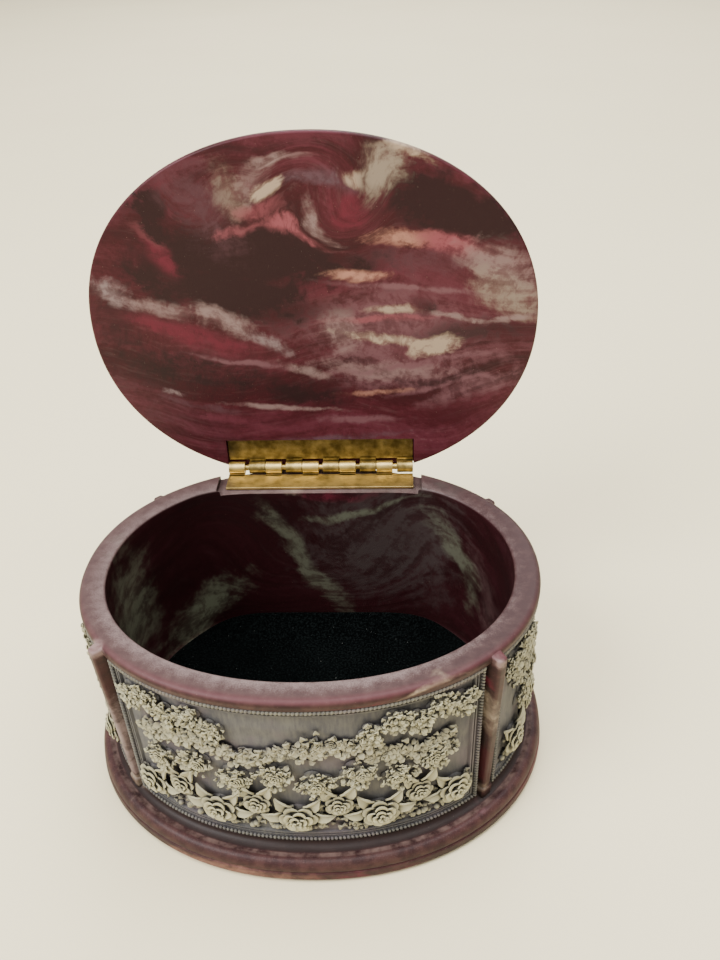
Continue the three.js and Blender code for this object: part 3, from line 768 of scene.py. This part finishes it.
def pilaster(rim_stand, growth, bottom, top):
    """A post with a face narrower than its root, standing further out at the rim."""
    form = block((-0.5, 0, 0), (0.5, 1, 1))
    for vert in form.verts:
        outer = vert.co.y < 0.5
        z = top - (0.9 if outer else 0) if vert.co.z > 0.5 else bottom
        stand = FOOT_STAND + (rim_stand - FOOT_STAND) * (z - PLINTH_TOP) / (RIM_TOP - PLINTH_TOP)
        width = (PILASTER_CROWN if outer else PILASTER_ROOT) + 2 * growth
        vert.co = (vert.co.x * width, -stand - growth if outer else PILASTER_DEPTH, z)
    bmesh.ops.bevel(form, geom=form.edges, offset=0.8, affect="EDGES", segments=4, profile=0.5,
                    material=-1)
    return form


def stone_body():
    """The spun shell with the hinge ledge cut into its rim, a pilaster and a block at each corner."""
    form = cut(spun(body_levels()), block(LEDGE_LOW, LEDGE_HIGH))
    for angle, stand in PILASTERS:
        add(form, pilaster(stand, 0, 7.2, RIM_TOP - 0.05), wall_frame(angle))
        add(form, pilaster(stand, 0.5, 7.2, 12.6), wall_frame(angle))
    return form


piece(stone_body(), "stone_body", "box_body", worn_and_shaded_stone())

# %% [markdown]
# ## The lid
# The lid is a slab of the same stone with a stepped edge. Its under side, which the open
# box shows, is flat and polished. The heel is cut off straight behind the pin and a
# shallow recess takes the hinge leaf.

# %% The lid slab
LID_BOTTOM = 68.8
LID_TOP = LID_BOTTOM + 6.4
PANEL_BORDER = 11.5
HEEL = 0.5
RECESS_LOW = (-32.1, 40.1, 0)
RECESS_HIGH = (32.1, FAR, 71.05)


def lid_levels():
    """The stepped edge of the lid and the shallow bed of its carved oval."""
    step = level(LID, 1.1, LID_BOTTOM + 3.7)
    shoulder = level(LID, 7, LID_TOP)
    edge = level(LID, 0.8, LID_BOTTOM)
    profile = [
        edge,
        *quarter_round(edge, level(LID, 0, LID_BOTTOM + 0.8), 5, hollow=True),
        level(LID, 0, LID_BOTTOM + 2.6),
        level(LID, 0.4, LID_BOTTOM + 3),
        level(LID, 1.1, LID_BOTTOM + 3),
        step,
        *quarter_round(step, shoulder, 9),
        level(LID, PANEL_BORDER - 0.3, LID_TOP),
        level(LID, PANEL_BORDER - 0.3, LID_TOP - 1.8),
    ]
    return [level(LID, 3, LID_BOTTOM)] + softened(profile, 0.3)


def lid_slab():
    """The spun slab with its heel cut off behind the pin and the recess of the hinge leaf."""
    form = cut(spun(lid_levels()), block((-FAR, PIN_Y + HEEL, 0), (FAR, FAR, FAR)))
    return cut(form, block(RECESS_LOW, RECESS_HIGH))


piece(lid_slab(), "stone_lid", "lid_slab", polished_stone(), body="lid")

# %% [markdown]
# ## The hinge
# Each leaf is a strip of brass. Five tongues at its edge are rolled round the pin, and the
# tongues of the other leaf fill the gaps. A flat tongue spun about the pin makes the same
# curl that the rolling tool makes.

# %% The hinge leaves and the pin
HINGE = 63.6
KNUCKLES = 5
BARREL = 2.1
SHEET = 0.8
REACH = 10.3
RELIEF = 0.4
PLAY = 0.3
PITCH = (HINGE + PLAY) / KNUCKLES
KNUCKLE = (PITCH - 1.55 - PLAY) / 2
CURL = math.radians(295)
PIN_RADIUS = 1.05
print(2 * KNUCKLES, "knuckles of", round(KNUCKLE, 2), "mm, one pair each", round(PITCH, 2), "mm")


def curl(start):
    """One tongue rolled round the pin, which runs along X through the origin."""
    form = bmesh.new()
    corners = [(start, 0, -BARREL), (start + KNUCKLE, 0, -BARREL), (start + KNUCKLE, 0, SHEET - BARREL),
               (start, 0, SHEET - BARREL)]
    section = form.faces.new([form.verts.new(corner) for corner in corners])
    tail = bmesh.ops.extrude_face_region(form, geom=[section])
    verts = [item for item in tail["geom"] if isinstance(item, bmesh.types.BMVert)]
    bmesh.ops.translate(form, verts=verts, vec=(0, -BARREL - RELIEF - SHEET, 0))
    rolled = bmesh.new()
    section = rolled.faces.new([rolled.verts.new(corner) for corner in corners])
    bmesh.ops.spin(rolled, geom=[section], cent=(0, 0, 0), axis=(1, 0, 0), angle=CURL, steps=40)
    add(form, rolled)
    rolled.free()
    bmesh.ops.remove_doubles(form, verts=form.verts, dist=1e-4)
    bmesh.ops.recalc_face_normals(form, faces=form.faces)
    return form


def leaf():
    """A flat strip with its five tongues, about a pin that runs along X through the origin."""
    form = block((-HINGE / 2, -REACH, -BARREL), (HINGE / 2, -BARREL - RELIEF, SHEET - BARREL), edge=0.12)
    for k in range(KNUCKLES):
        tongue = curl(k * PITCH - HINGE / 2)
        add(form, tongue)
        tongue.free()
    return form


def pin():
    form = bmesh.new()
    bmesh.ops.create_cone(form, cap_ends=True, segments=32, radius1=PIN_RADIUS, radius2=PIN_RADIUS,
                          depth=HINGE)
    rims = [edge for edge in form.edges if abs(edge.verts[0].co.z - edge.verts[1].co.z) < 1e-6]
    bmesh.ops.bevel(form, geom=rims, offset=0.2, affect="EDGES", segments=2, profile=0.5, material=-1)
    bmesh.ops.rotate(form, verts=form.verts, matrix=Matrix.Rotation(math.pi / 2, 3, "Y"))
    form.transform(PIN)
    return form


def aged_brass(name, tarnish):
    """Satin brass, brown where tarnish has gathered, with fine scratches across the leaves."""
    paint = Paint(name, Metallic=1.0)
    place = paint.place()
    cloud = paint.noise(place, 0.25, detail=4)
    scratch = paint.noise(paint.place(stretch=(0.4, 6, 6)), 1.0, detail=3)
    brass = paint.mix(cloud, colour(228, 203, 138), colour(202, 175, 106))
    brass = paint.mix(paint.rise(cloud + tarnish, 0.45, 1.1), brass, colour(104, 90, 54))
    paint.bump(scratch, 0.08, 0.1)
    return paint.finish(Base_Color=brass, Roughness=0.28 + 0.2 * scratch)


body_leaf = leaf()
body_leaf.transform(PIN)
piece(body_leaf, "brass_leaf_body", "hinge_leaf_body", aged_brass("aged_brass", 0.1))
lid_leaf = leaf()
lid_leaf.transform(PIN @ Matrix.Rotation(math.pi, 4, "Y"))
piece(lid_leaf, "brass_leaf_lid", "hinge_leaf_lid", aged_brass("dull_brass", 0.35), "lid")
piece(pin(), "brass_pin", "hinge_pin", aged_brass("pin_brass", 0.2))

# %% [markdown]
# ## Carving
# The panels are carved in high relief: a row of roses in the lower third with leaves and
# berries at its foot, a hedge behind it, a climbing rose across the middle and leafy boughs
# from the upper corners. Each motif is modelled flat, facing the viewer, with its own petals
# and leaves, because deep gaps between real petals catch the shade that a raised surface
# only hints at.

# %% Petals, roses, leaves and clumps
random.seed(7)


def strip(across, along, shape, thickness):
    """A grid from -1 to 1 across and 0 to 1 along, put in place by a function, then thickened."""
    form = bmesh.new()
    bmesh.ops.create_grid(form, x_segments=across, y_segments=along, size=1)
    for vert in form.verts:
        vert.co = shape(vert.co.x, (vert.co.y + 1) / 2)
    bmesh.ops.recalc_face_normals(form, faces=form.faces)
    bmesh.ops.solidify(form, geom=form.faces, thickness=thickness)
    return form


def rose():
    """A rose of radius 1 that faces +Z: rings of overlapping petals round a closed heart."""
    form = bmesh.new()
    bmesh.ops.create_icosphere(form, subdivisions=2, radius=0.8)
    bmesh.ops.scale(form, verts=form.verts, vec=(1, 1, 0.35))
    rings = [(6, 0.40, 1.00, 0.10, 0.34, 0.62), (5, 0.28, 0.76, 0.18, 0.50, 0.70),
             (4, 0.16, 0.50, 0.26, 0.60, 0.85), (3, 0.05, 0.26, 0.34, 0.66, 1.00)]
    for ring, (count, inner, outer, low, high, spread) in enumerate(rings):
        for k in range(count):
            turn = (k + 0.5 * ring + random.uniform(-0.12, 0.12)) / count * 2 * math.pi

            def shape(a, b):
                angle = turn + a * spread * math.sin(math.pi * (0.25 + 0.55 * b))
                radius = inner + (outer - inner) * b * (1 - 0.14 * a * a) + 0.04 * a
                z = low + (high - low) * math.sin(b * 1.9) + 0.05 * a * a
                return Vector((radius * math.cos(angle), radius * math.sin(angle), z))

            petal = strip(4, 4, shape, 0.06)
            add(form, petal)
            petal.free()
    return form


def leaf_shape(breadth, droop):
    """A pointed leaf along +Y with a creased midrib and a notched edge."""
    def shape(a, b):
        notch = 1 + 0.1 * math.sin(b * 34)
        half = breadth / 2 * math.sin(math.pi * min(b ** 0.75, 0.999)) * (notch if abs(a) > 0.9 else 1)
        z = 0.12 * abs(a) * math.sin(math.pi * b) + droop * math.sin(b * 2.4)
        return Vector((a * half, b, z))
    return shape


ROSES = [rose() for _ in range(3)]
BIG_LEAF = strip(6, 8, leaf_shape(0.5, 0.1), 0.06)
SMALL_LEAF = strip(2, 3, leaf_shape(0.8, 0.35), 0.16)
BERRY = bmesh.new()
bmesh.ops.create_icosphere(BERRY, subdivisions=2, radius=1)
UPRIGHT = Matrix.Rotation(math.pi / 2, 4, "X")
print("rose", len(ROSES[0].faces), "leaf", len(BIG_LEAF.faces), "small leaf", len(SMALL_LEAF.faces))


def put(form, motif, x, y, z, size, turn=0.0, tilt=0.0):
    """A motif on a flat panel: x right, y into the stone, z up, turned and tipped outwards."""
    place = Matrix.Translation((x, y, z)) @ UPRIGHT @ Matrix.Rotation(turn, 4, "Z")
    place = place @ Matrix.Rotation(tilt, 4, "X") @ Matrix.Scale(size, 4)
    add(form, motif, place)


def clump(form, x, y, z, radius, leaves=90):
    """A mound of small leaves that point outwards from a few round heads."""
    heads = [(0.0, 0.0, 0.62)]
    heads += [(0.5 * math.cos(turn), 0.5 * math.sin(turn), 0.46) for turn in (0.4, 1.9, 3.3, 4.9)]
    for across, along, size in heads:
        mound = Matrix.Translation((x + across * radius, y, z + along * radius))
        height = 1.3 - abs(across) - abs(along)
        add(form, BERRY, mound @ Matrix.Diagonal((size * radius, height, size * radius, 1)))
    for k in range(leaves):
        across, along, size = heads[k % len(heads)]
        turn = random.uniform(0, 2 * math.pi)
        away = size * math.sqrt(random.random())
        lift = 1.5 * (1 - (away / size) ** 2) * size + 0.5
        spot_x = x + radius * (across + away * math.cos(turn))
        spot_z = z + radius * (along + away * math.sin(turn))
        put(form, SMALL_LEAF, spot_x, y - lift, spot_z, random.uniform(1.3, 2.1),
            turn - math.pi / 2 + random.uniform(-0.9, 0.9), random.uniform(0.1, 0.8))


# %% [markdown]
# ## Relief panels
# A panel is carved flat and then bent round the oval, as a wax model of it would be. The
# border is a twisted cord, two fillets and a slope down to the ground. Distances along the
# rim are looked up in a table of the oval's length, so a bead keeps its size round the bend.

# %% The flat panel and its bend
PANEL_BOTTOM = 9.3
PANEL_TOP = 65.2
GROUND = 1.9
CORD = 1.5
SLOT_HALF = 3.2
# each step of the border: how far in from the panel's edge, and how deep in the wall
BORDER = [(0, 1.0), (1.15, 1.0), (1.2, 1.6), (1.5, 1.6), (1.55, 1.05), (2.05, 1.05), (2.1, 1.6),
          (2.4, 1.6), (2.45, 1.1), (3.0, 1.1), (3.3, 1.9)]
TURNS = np.linspace(-2 * math.pi, 2 * math.pi, 8001)
SPOTS = np.array([oval_place(level(RIM, 0, 0), turn)[:2] for turn in TURNS])
LENGTHS = np.concatenate([[0], np.cumsum(np.hypot(*np.diff(SPOTS, axis=0).T))])
print("round the rim:", round(LENGTHS[-1] / 2), "mm")


def bend(form, middle):
    """A flat panel bent round the wall, its middle at a length along the oval."""
    for vert in form.verts:
        turn = np.interp(middle + vert.co.x, LENGTHS, TURNS)
        vert.co = oval_place(level(RIM, vert.co.y, vert.co.z), turn)


def lines(low, high, pitch):
    """Where the grid lines of a panel lie: close together in the borders, even between them."""
    near = [low + distance for distance, _ in BORDER]
    far = [high - distance for distance, _ in reversed(BORDER)]
    count = round((far[0] - near[-1]) / pitch)
    return near + list(np.linspace(near[-1], far[0], count + 1)[1:-1]) + far


def ground(width):
    """The face of a panel with its border, and a flat back."""
    across, up = lines(-width / 2, width / 2, 0.9), lines(PANEL_BOTTOM, PANEL_TOP, 0.9)
    form = bmesh.new()
    bmesh.ops.create_grid(form, x_segments=len(across) - 1, y_segments=len(up) - 1, size=1)
    distances, insets = zip(*BORDER)
    for vert in form.verts:
        x = across[round((vert.co.x + 1) / 2 * (len(across) - 1))]
        z = up[round((vert.co.y + 1) / 2 * (len(up) - 1))]
        edge = min(width / 2 - abs(x), z - PANEL_BOTTOM, PANEL_TOP - z)
        y = float(np.interp(edge, distances, insets))
        if edge > BORDER[-1][0]:
            y -= 0.35 * noise.noise((x * 0.16, 0, z * 0.22)) * min(1, edge - BORDER[-1][0])
        vert.co = (x, y, z)
    back = bmesh.ops.extrude_face_region(form, geom=form.faces[:])
    for item in back["geom"]:
        if isinstance(item, bmesh.types.BMVert):
            item.co.y = SEAT - 0.3
    bmesh.ops.recalc_face_normals(form, faces=form.faces)
    return form


def bead():
    form = bmesh.new()
    bmesh.ops.create_uvsphere(form, u_segments=8, v_segments=5, radius=1)
    return form


BEAD = bead()


def cord(form, start, end, pitch, size, slant=0.9):
    """A twisted cord: slanted beads that overlap along a straight line."""
    start, end = Vector(start), Vector(end)
    count = round((end - start).length / pitch)
    heading = math.atan2(end.z - start.z, end.x - start.x)
    for k in range(count + 1):
        spot = start.lerp(end, k / count)
        place = Matrix.Translation(spot) @ Matrix.Rotation(-heading - slant, 4, "Y")
        add(form, BEAD, place @ Matrix.Diagonal((*size, 1)))


ROSE_PITCH = 11.6
LARGE_ROSE = 5.6
SMALL_ROSE = 4.2
ROSE_HEIGHT = 23
HEDGE_HEIGHT = 36.5
VINE_HEIGHT = 48
LEAF_LENGTH = 7.6
LEAF_ROOT = 0.55


def carving(form, width, boughs):
    """Roses with leaves in a waving row, a hedge behind them and boughs from the upper corners."""
    count = int((width - 2 * LARGE_ROSE) // ROSE_PITCH) + 1
    for k in range(count):
        x = (k - (count - 1) / 2) * ROSE_PITCH
        large = k % 2 == 0
        radius = LARGE_ROSE if large else SMALL_ROSE
        z = ROSE_HEIGHT + (-2.6 if large else 2.6)
        root = radius * LEAF_ROOT
        for turn in (-1.5, -0.65, 0.65, 1.5) if large else (-0.5, 0.5):
            if abs(x - (root + LEAF_LENGTH) * math.sin(turn)) > width / 2 - 3.5:
                continue
            put(form, BIG_LEAF, x - root * math.sin(turn), GROUND - 0.5,
                z + root * math.cos(turn), LEAF_LENGTH, turn, 0.1)
        put(form, random.choice(ROSES), x, GROUND, z, radius, random.uniform(0, 6))
    for side in (-1, 1):
        for k in range(boughs):
            x = side * (width / 2 - 7.2 - k * 6.6)
            clump(form, x, GROUND - 0.2, PANEL_TOP - 9.5 + (k % 2) * 3.1 - k * 0.4, 5 * (1 - k * 0.06))
    hedge = count - 1
    for k in range(hedge):
        x = (k - (hedge - 1) / 2) * ROSE_PITCH
        z = HEDGE_HEIGHT + (1.75 if k % 2 else -1.75)
        clump(form, x, GROUND - 0.2, z, 5.6)
        put(form, ROSES[k % 3], x + random.uniform(-2, 2), GROUND - 1.2, z + 0.5, 2.6, random.uniform(0, 6))
    undergrowth(form, count * ROSE_PITCH)
    vine(form, width / 2 - 9)


def undergrowth(form, width):
    """Low leaves and berries that fill the foot of the panel between the roses."""
    for _ in range(round(width * 2.6)):
        x, z = random.uniform(-width / 2, width / 2), random.uniform(13.4, 24)
        put(form, SMALL_LEAF, x, GROUND - 0.1, z, random.uniform(1.6, 2.8), random.uniform(-1.2, 1.2), 0.2)
    for _ in range(round(width / 3)):
        x, z = random.uniform(-width / 2, width / 2), random.uniform(13.6, 16)
        berry = Matrix.Translation((x, GROUND - 0.5, z))
        add(form, BERRY, berry @ Matrix.Scale(random.uniform(0.7, 1.1), 4))


def vine(form, reach):
    """A climbing rose across the middle: a waving stem under small leaves and blossoms."""
    step = 0.4
    for k in range(round(2 * reach / step)):
        x = -reach + k * step
        z = VINE_HEIGHT + 2.4 * math.sin(x / 7) - 0.002 * x * x
        add(form, BEAD, Matrix.Translation((x, GROUND - 0.1, z)) @ Matrix.Scale(0.45, 4))
        for _ in range(3):
            put(form, SMALL_LEAF, x + random.uniform(-1, 1), GROUND - random.uniform(0.1, 0.5),
                z + random.gauss(0, 1.7), random.uniform(1.6, 2.8), random.uniform(0, 6),
                random.uniform(0, 0.4))
        if k % 15 == 7:
            put(form, ROSES[k % 3], x, GROUND + 0.2, z + random.uniform(-1.5, 1.5),
                random.uniform(1.8, 2.5), random.uniform(0, 6))


def relief_panel(start, end, boughs):
    """A panel between two corners: ground, border and carving, with how far each point stands out."""
    low, high = np.interp((start, end), TURNS, LENGTHS)
    width = high - low - 2 * SLOT_HALF
    form = ground(width)
    top, bottom = PANEL_TOP - 0.7, PANEL_BOTTOM + 0.6
    right = width / 2 - 0.65
    cord(form, (-right, 0.75, top), (right, 0.75, top), 1.1, (0.9, 0.75, 0.7))
    cord(form, (-right, 0.8, bottom), (right, 0.8, bottom), 1.2, (0.6, 0.6, 0.62))
    for x in (-right, right):
        cord(form, (x, 0.75, bottom), (x, 0.75, top), 1.2, (0.75, 0.7, 0.5))
    border = len(form.verts)
    carving(form, width, boughs)
    stand = form.verts.layers.float.new("stand")
    for number, vert in enumerate(form.verts):
        vert[stand] = (GROUND - vert.co.y) * (0.4 if number < border else 1)
    bend(form, (low + high) / 2)
    return form


def relief_stone():
    """Grey lavender ground, cream where the carving stands out, dark in its gaps."""
    paint = Paint("relief_stone", Roughness=0.75, Specular_IOR_Level=0.3)
    place = paint.place()
    stand = paint.node("Attribute", {"attribute_name": "stand"}, {}, output=2)
    brushed = paint.noise(paint.place(stretch=(2, 2, 0.4)), 0.5, detail=5)
    cloud = paint.noise(place, 0.12, detail=4)
    worn = paint.rise(brushed * 0.6 + cloud * 0.5, 0.4, 0.7)
    lavender = paint.rise(paint.noise(place, 0.07, detail=3), 0.5, 0.66) * 0.6
    flat = paint.mix(worn, colour(78, 77, 80), colour(97, 95, 92))
    flat = paint.mix(lavender, flat, colour(98, 88, 94))
    cream = paint.mix(cloud, colour(184, 179, 144), colour(166, 161, 134))
    raised = paint.rise(stand + (brushed - 0.5) * 0.8, 0.3, 1.7) * 0.7 + paint.rise(stand, 1.4, 3.4) * 0.3
    stone = paint.mix(raised, flat, cream)
    # Darker in the gaps of the carving: partly its dark wash, partly painted shade.
    shade = paint.node("AmbientOcclusion", {"samples": 6}, {"Distance": 2.0 * MM}, output=1)
    stone = paint.mix((1 - paint.rise(shade, 0.2, 0.85)) * 0.85, stone, colour(46, 43, 44))
    paint.bump(brushed + paint.noise(place, 1.4, detail=4), 0.2, 0.3)
    return paint.finish(Base_Color=stone)


carved_stone = relief_stone()
QUARTER = math.pi / 2
PANELS = [("front", FRONT_LEFT, FRONT_RIGHT, 5), ("right", FRONT_RIGHT, REAR_RIGHT, 3),
          ("rear", REAR_RIGHT, REAR_LEFT, 5), ("left", REAR_LEFT, FRONT_LEFT + math.tau, 3)]
for side, start, end, boughs in PANELS:
    piece(relief_panel(start, end, boughs), "carved_panel_" + side, "relief_panel_" + side,
          carved_stone)

# %% [markdown]
# ## The carved oval on the lid
# The photograph shows the lid from below, so its upper side is a guess: the same stone as
# the panels, let in as a low dome inside a plain border. A wreath of roses and leaves lies
# round a larger rose, and all of it is cut flatter than the carving on the walls.

# %% The lid's panel
LOW_ROSE = 0.42
WREATH = 17.2
DOME_FOOT = 1.4
DOME_RISE = 2.4
DOME_REACH = 40


def dome(inset):
    """How high the lid's panel is at a distance in from the lid's edge."""
    share = min(1, (inset - PANEL_BORDER - 2 * CORD) / DOME_REACH)
    return LID_TOP - DOME_FOOT + DOME_RISE * math.sin(share * QUARTER)


def lid_motif(form, stands, motif, spot, turn, size, low):
    """A motif laid flat on the lid, with how far each of its points stands out."""
    place = Matrix.Translation(spot) @ Matrix.Rotation(turn, 4, "Z")
    add(form, motif, place @ Matrix.Diagonal((size, size, size * low, 1)))
    form.verts.ensure_lookup_table()
    stands += [vert.co.z - spot.z for vert in form.verts[len(stands):]]


def lid_panel():
    """A low dome inside a border, with the middle rose, its leaves and the wreath laid on it."""
    seat, ledge, foot = LID_TOP - 1.5, LID_TOP - 0.7, LID_TOP - DOME_FOOT
    levels = [level(LID, PANEL_BORDER, seat), level(LID, PANEL_BORDER, ledge),
              level(LID, PANEL_BORDER + CORD, ledge), level(LID, PANEL_BORDER + CORD + 0.2, foot)]
    for share in (0.2, 0.4, 0.6, 0.8, 0.95):
        inset = PANEL_BORDER + 2 * CORD + share * DOME_REACH
        levels.append(level(LID, inset, dome(inset)))
    form = spun(levels)
    stands = [0.0] * len(form.verts)
    middle = Vector((0, LID[2], dome(FAR)))
    for k in range(12):
        turn = k / 12 * math.tau
        root = middle + Vector((-5.5 * math.sin(turn), 5.5 * math.cos(turn), -0.3))
        lid_motif(form, stands, BIG_LEAF, root, turn, 12 if k % 2 else 9, LOW_ROSE)
    lid_motif(form, stands, ROSES[0], middle, 0, 11.2, LOW_ROSE)
    for k in range(260):
        angle = random.uniform(0, math.tau)
        inset = PANEL_BORDER + WREATH + random.gauss(0, 1.6)
        spot = oval_place(level(LID, inset, dome(inset) - 0.1), angle)
        turn = angle + random.uniform(-0.9, 0.9) + (math.pi if k % 3 == 0 else 0)
        leaf_form = BIG_LEAF if k % 4 == 0 else SMALL_LEAF
        lid_motif(form, stands, leaf_form, spot, turn, random.uniform(3.2, 5.4), 0.7)
    wreath = level(LID, PANEL_BORDER + WREATH, dome(PANEL_BORDER + WREATH))
    for k in range(10):
        spot = oval_place(wreath, (k + 0.5) / 10 * math.tau)
        lid_motif(form, stands, ROSES[k % 3], spot, k, 4.2 if k % 2 else 5.6, 0.85)
    stand = form.verts.layers.float.new("stand")
    for vert, height in zip(form.verts, stands):
        vert[stand] = height
    return form


piece(lid_panel(), "carved_panel_lid", "relief_panel_lid", carved_stone, "lid")

# %% [markdown]
# ## Velvet and felt
# The pad is black velvet on a thin stiff backing, cut to the floor of the hollow and laid in.
# Cloth that lies flat needs no simulation, so a few ovals give it its softly rounded edge.
# Its pile is too short for strands: a fine noise in colour and bump shows as fibre, and a few
# pale specks are lint. The felt under the foot is a sheet, and only its edge could be seen.

# %% The velvet pad
PAD_PLAY = 0.4
BACKING = 1.2
PILE = 0.8
TURN_UP = 2.4


def velvet_pad():
    """The pad lies flat and turns up a little on the round corner at the back of the floor."""
    outline = level(RIM, WALL + TAPER + PAD_PLAY, FLOOR + 0.05, BACK_WALL - PAD_PLAY)
    levels = [outline._replace(z=FLOOR), outline, outline._replace(z=FLOOR + BACKING)]
    for share in (0.995, 0.985, 0.97, 0.95, 0.9, 0.8, 0.65, 0.5, 0.35, 0.2, 0.1):
        lift = min(1, (1 - share) * 12)
        levels.append(Level(outline.half_width * share, outline.half_depth * share, 0,
                            FLOOR + BACKING + PILE * math.sqrt(lift), outline.back * share))
    form = spun(levels, steps=200)
    for vert in form.verts:
        if vert.co.z > FLOOR + 1:
            vert.co.z += TURN_UP * (max(0, vert.co.y / outline.back - 0.6) / 0.4) ** 2
    return form


def velvet():
    """Near black, with a grain of pile and a few pale specks of lint."""
    paint = Paint("black_velvet", Roughness=1.0, Sheen_Weight=0.02, Sheen_Roughness=0.4,
                  Specular_IOR_Level=0.03)
    place = paint.place()
    pile = paint.noise(place, 1.5, detail=4, roughness=0.7)
    patch = paint.noise(place, 0.08, detail=3)
    cloth = paint.mix(paint.rise(pile * 0.9 + patch * 0.1, 0.46, 0.62), colour(0, 1, 1), colour(13, 17, 17))
    lint = paint.rise(paint.noise(place, 1.4, detail=1), 0.78, 0.8)
    cloth = paint.mix(lint * 0.8, cloth, colour(110, 112, 108))
    paint.bump(pile, 0.6, 0.4)
    return paint.finish(Base_Color=cloth)


pad = piece(velvet_pad(), "velvet_pad", "velvet_floor_pad", velvet())


FELT_INSET = 4


def felt_sheet():
    edge = level(PLINTH, FELT_INSET, 0)
    return spun([edge, edge._replace(z=FELT)], steps=160)


def felt():
    paint = Paint("base_felt", Roughness=1.0)
    fibre = paint.noise(paint.place(), 2.0, detail=4)
    paint.bump(fibre, 0.5, 0.3)
    return paint.finish(Base_Color=paint.mix(fibre, colour(34, 30, 30), colour(60, 54, 52)))


sheet = piece(felt_sheet(), "felt_sheet", "base_felt", felt())
felt_area = sum(face.area for face in sheet.data.polygons if face.normal.z > 0.9)

# %% [markdown]
# ## The room
# The box stands on a plain pale table in soft daylight. Three large discs of light stand in
# for a window on the left, a pale ceiling and a bright far end of the table, because large
# lights give the soft shadows and the broad sheen on the polished lid.


# %% Floor and light
def floor():
    form = bmesh.new()
    bmesh.ops.create_grid(form, x_segments=4, y_segments=4, size=4)
    made = bpy.data.objects.new("floor", mesh_of(form, "floor"))
    bpy.context.scene.collection.objects.link(made)
    paint = Paint("pale_table", Roughness=0.5)
    cloud = paint.noise(paint.place(), 0.004, detail=2)
    shade = paint.mix(cloud, colour(240, 228, 192), colour(232, 219, 182))
    made.data.materials.append(paint.finish(Base_Color=shade))


def lamp(name, place, size, power, target=(0, 0, 0.06)):
    data = bpy.data.lights.new(name, "AREA")
    data.energy, data.shape, data.size = power, "DISK", size
    made = bpy.data.objects.new(name, data)
    made.location = place
    made.rotation_euler = (Vector(target) - Vector(place)).to_track_quat("-Z", "Y").to_euler()
    bpy.context.scene.collection.objects.link(made)


floor()
lamp("window", (-0.9, -0.6, 1.2), 0.9, 34)
lamp("ceiling", (0.3, 0.0, 1.8), 1.8, 50)
lamp("far_wall", (0.0, 1.8, 1.5), 1.2, 36, target=(0, 1.9, 0))
world = bpy.data.worlds.new("room")
world.use_nodes = True
world.node_tree.nodes["Background"].inputs["Color"].default_value = colour(232, 228, 216)
world.node_tree.nodes["Background"].inputs["Strength"].default_value = 1.0
bpy.context.scene.world = world
print("lights:", ", ".join(light.name for light in bpy.data.lights))
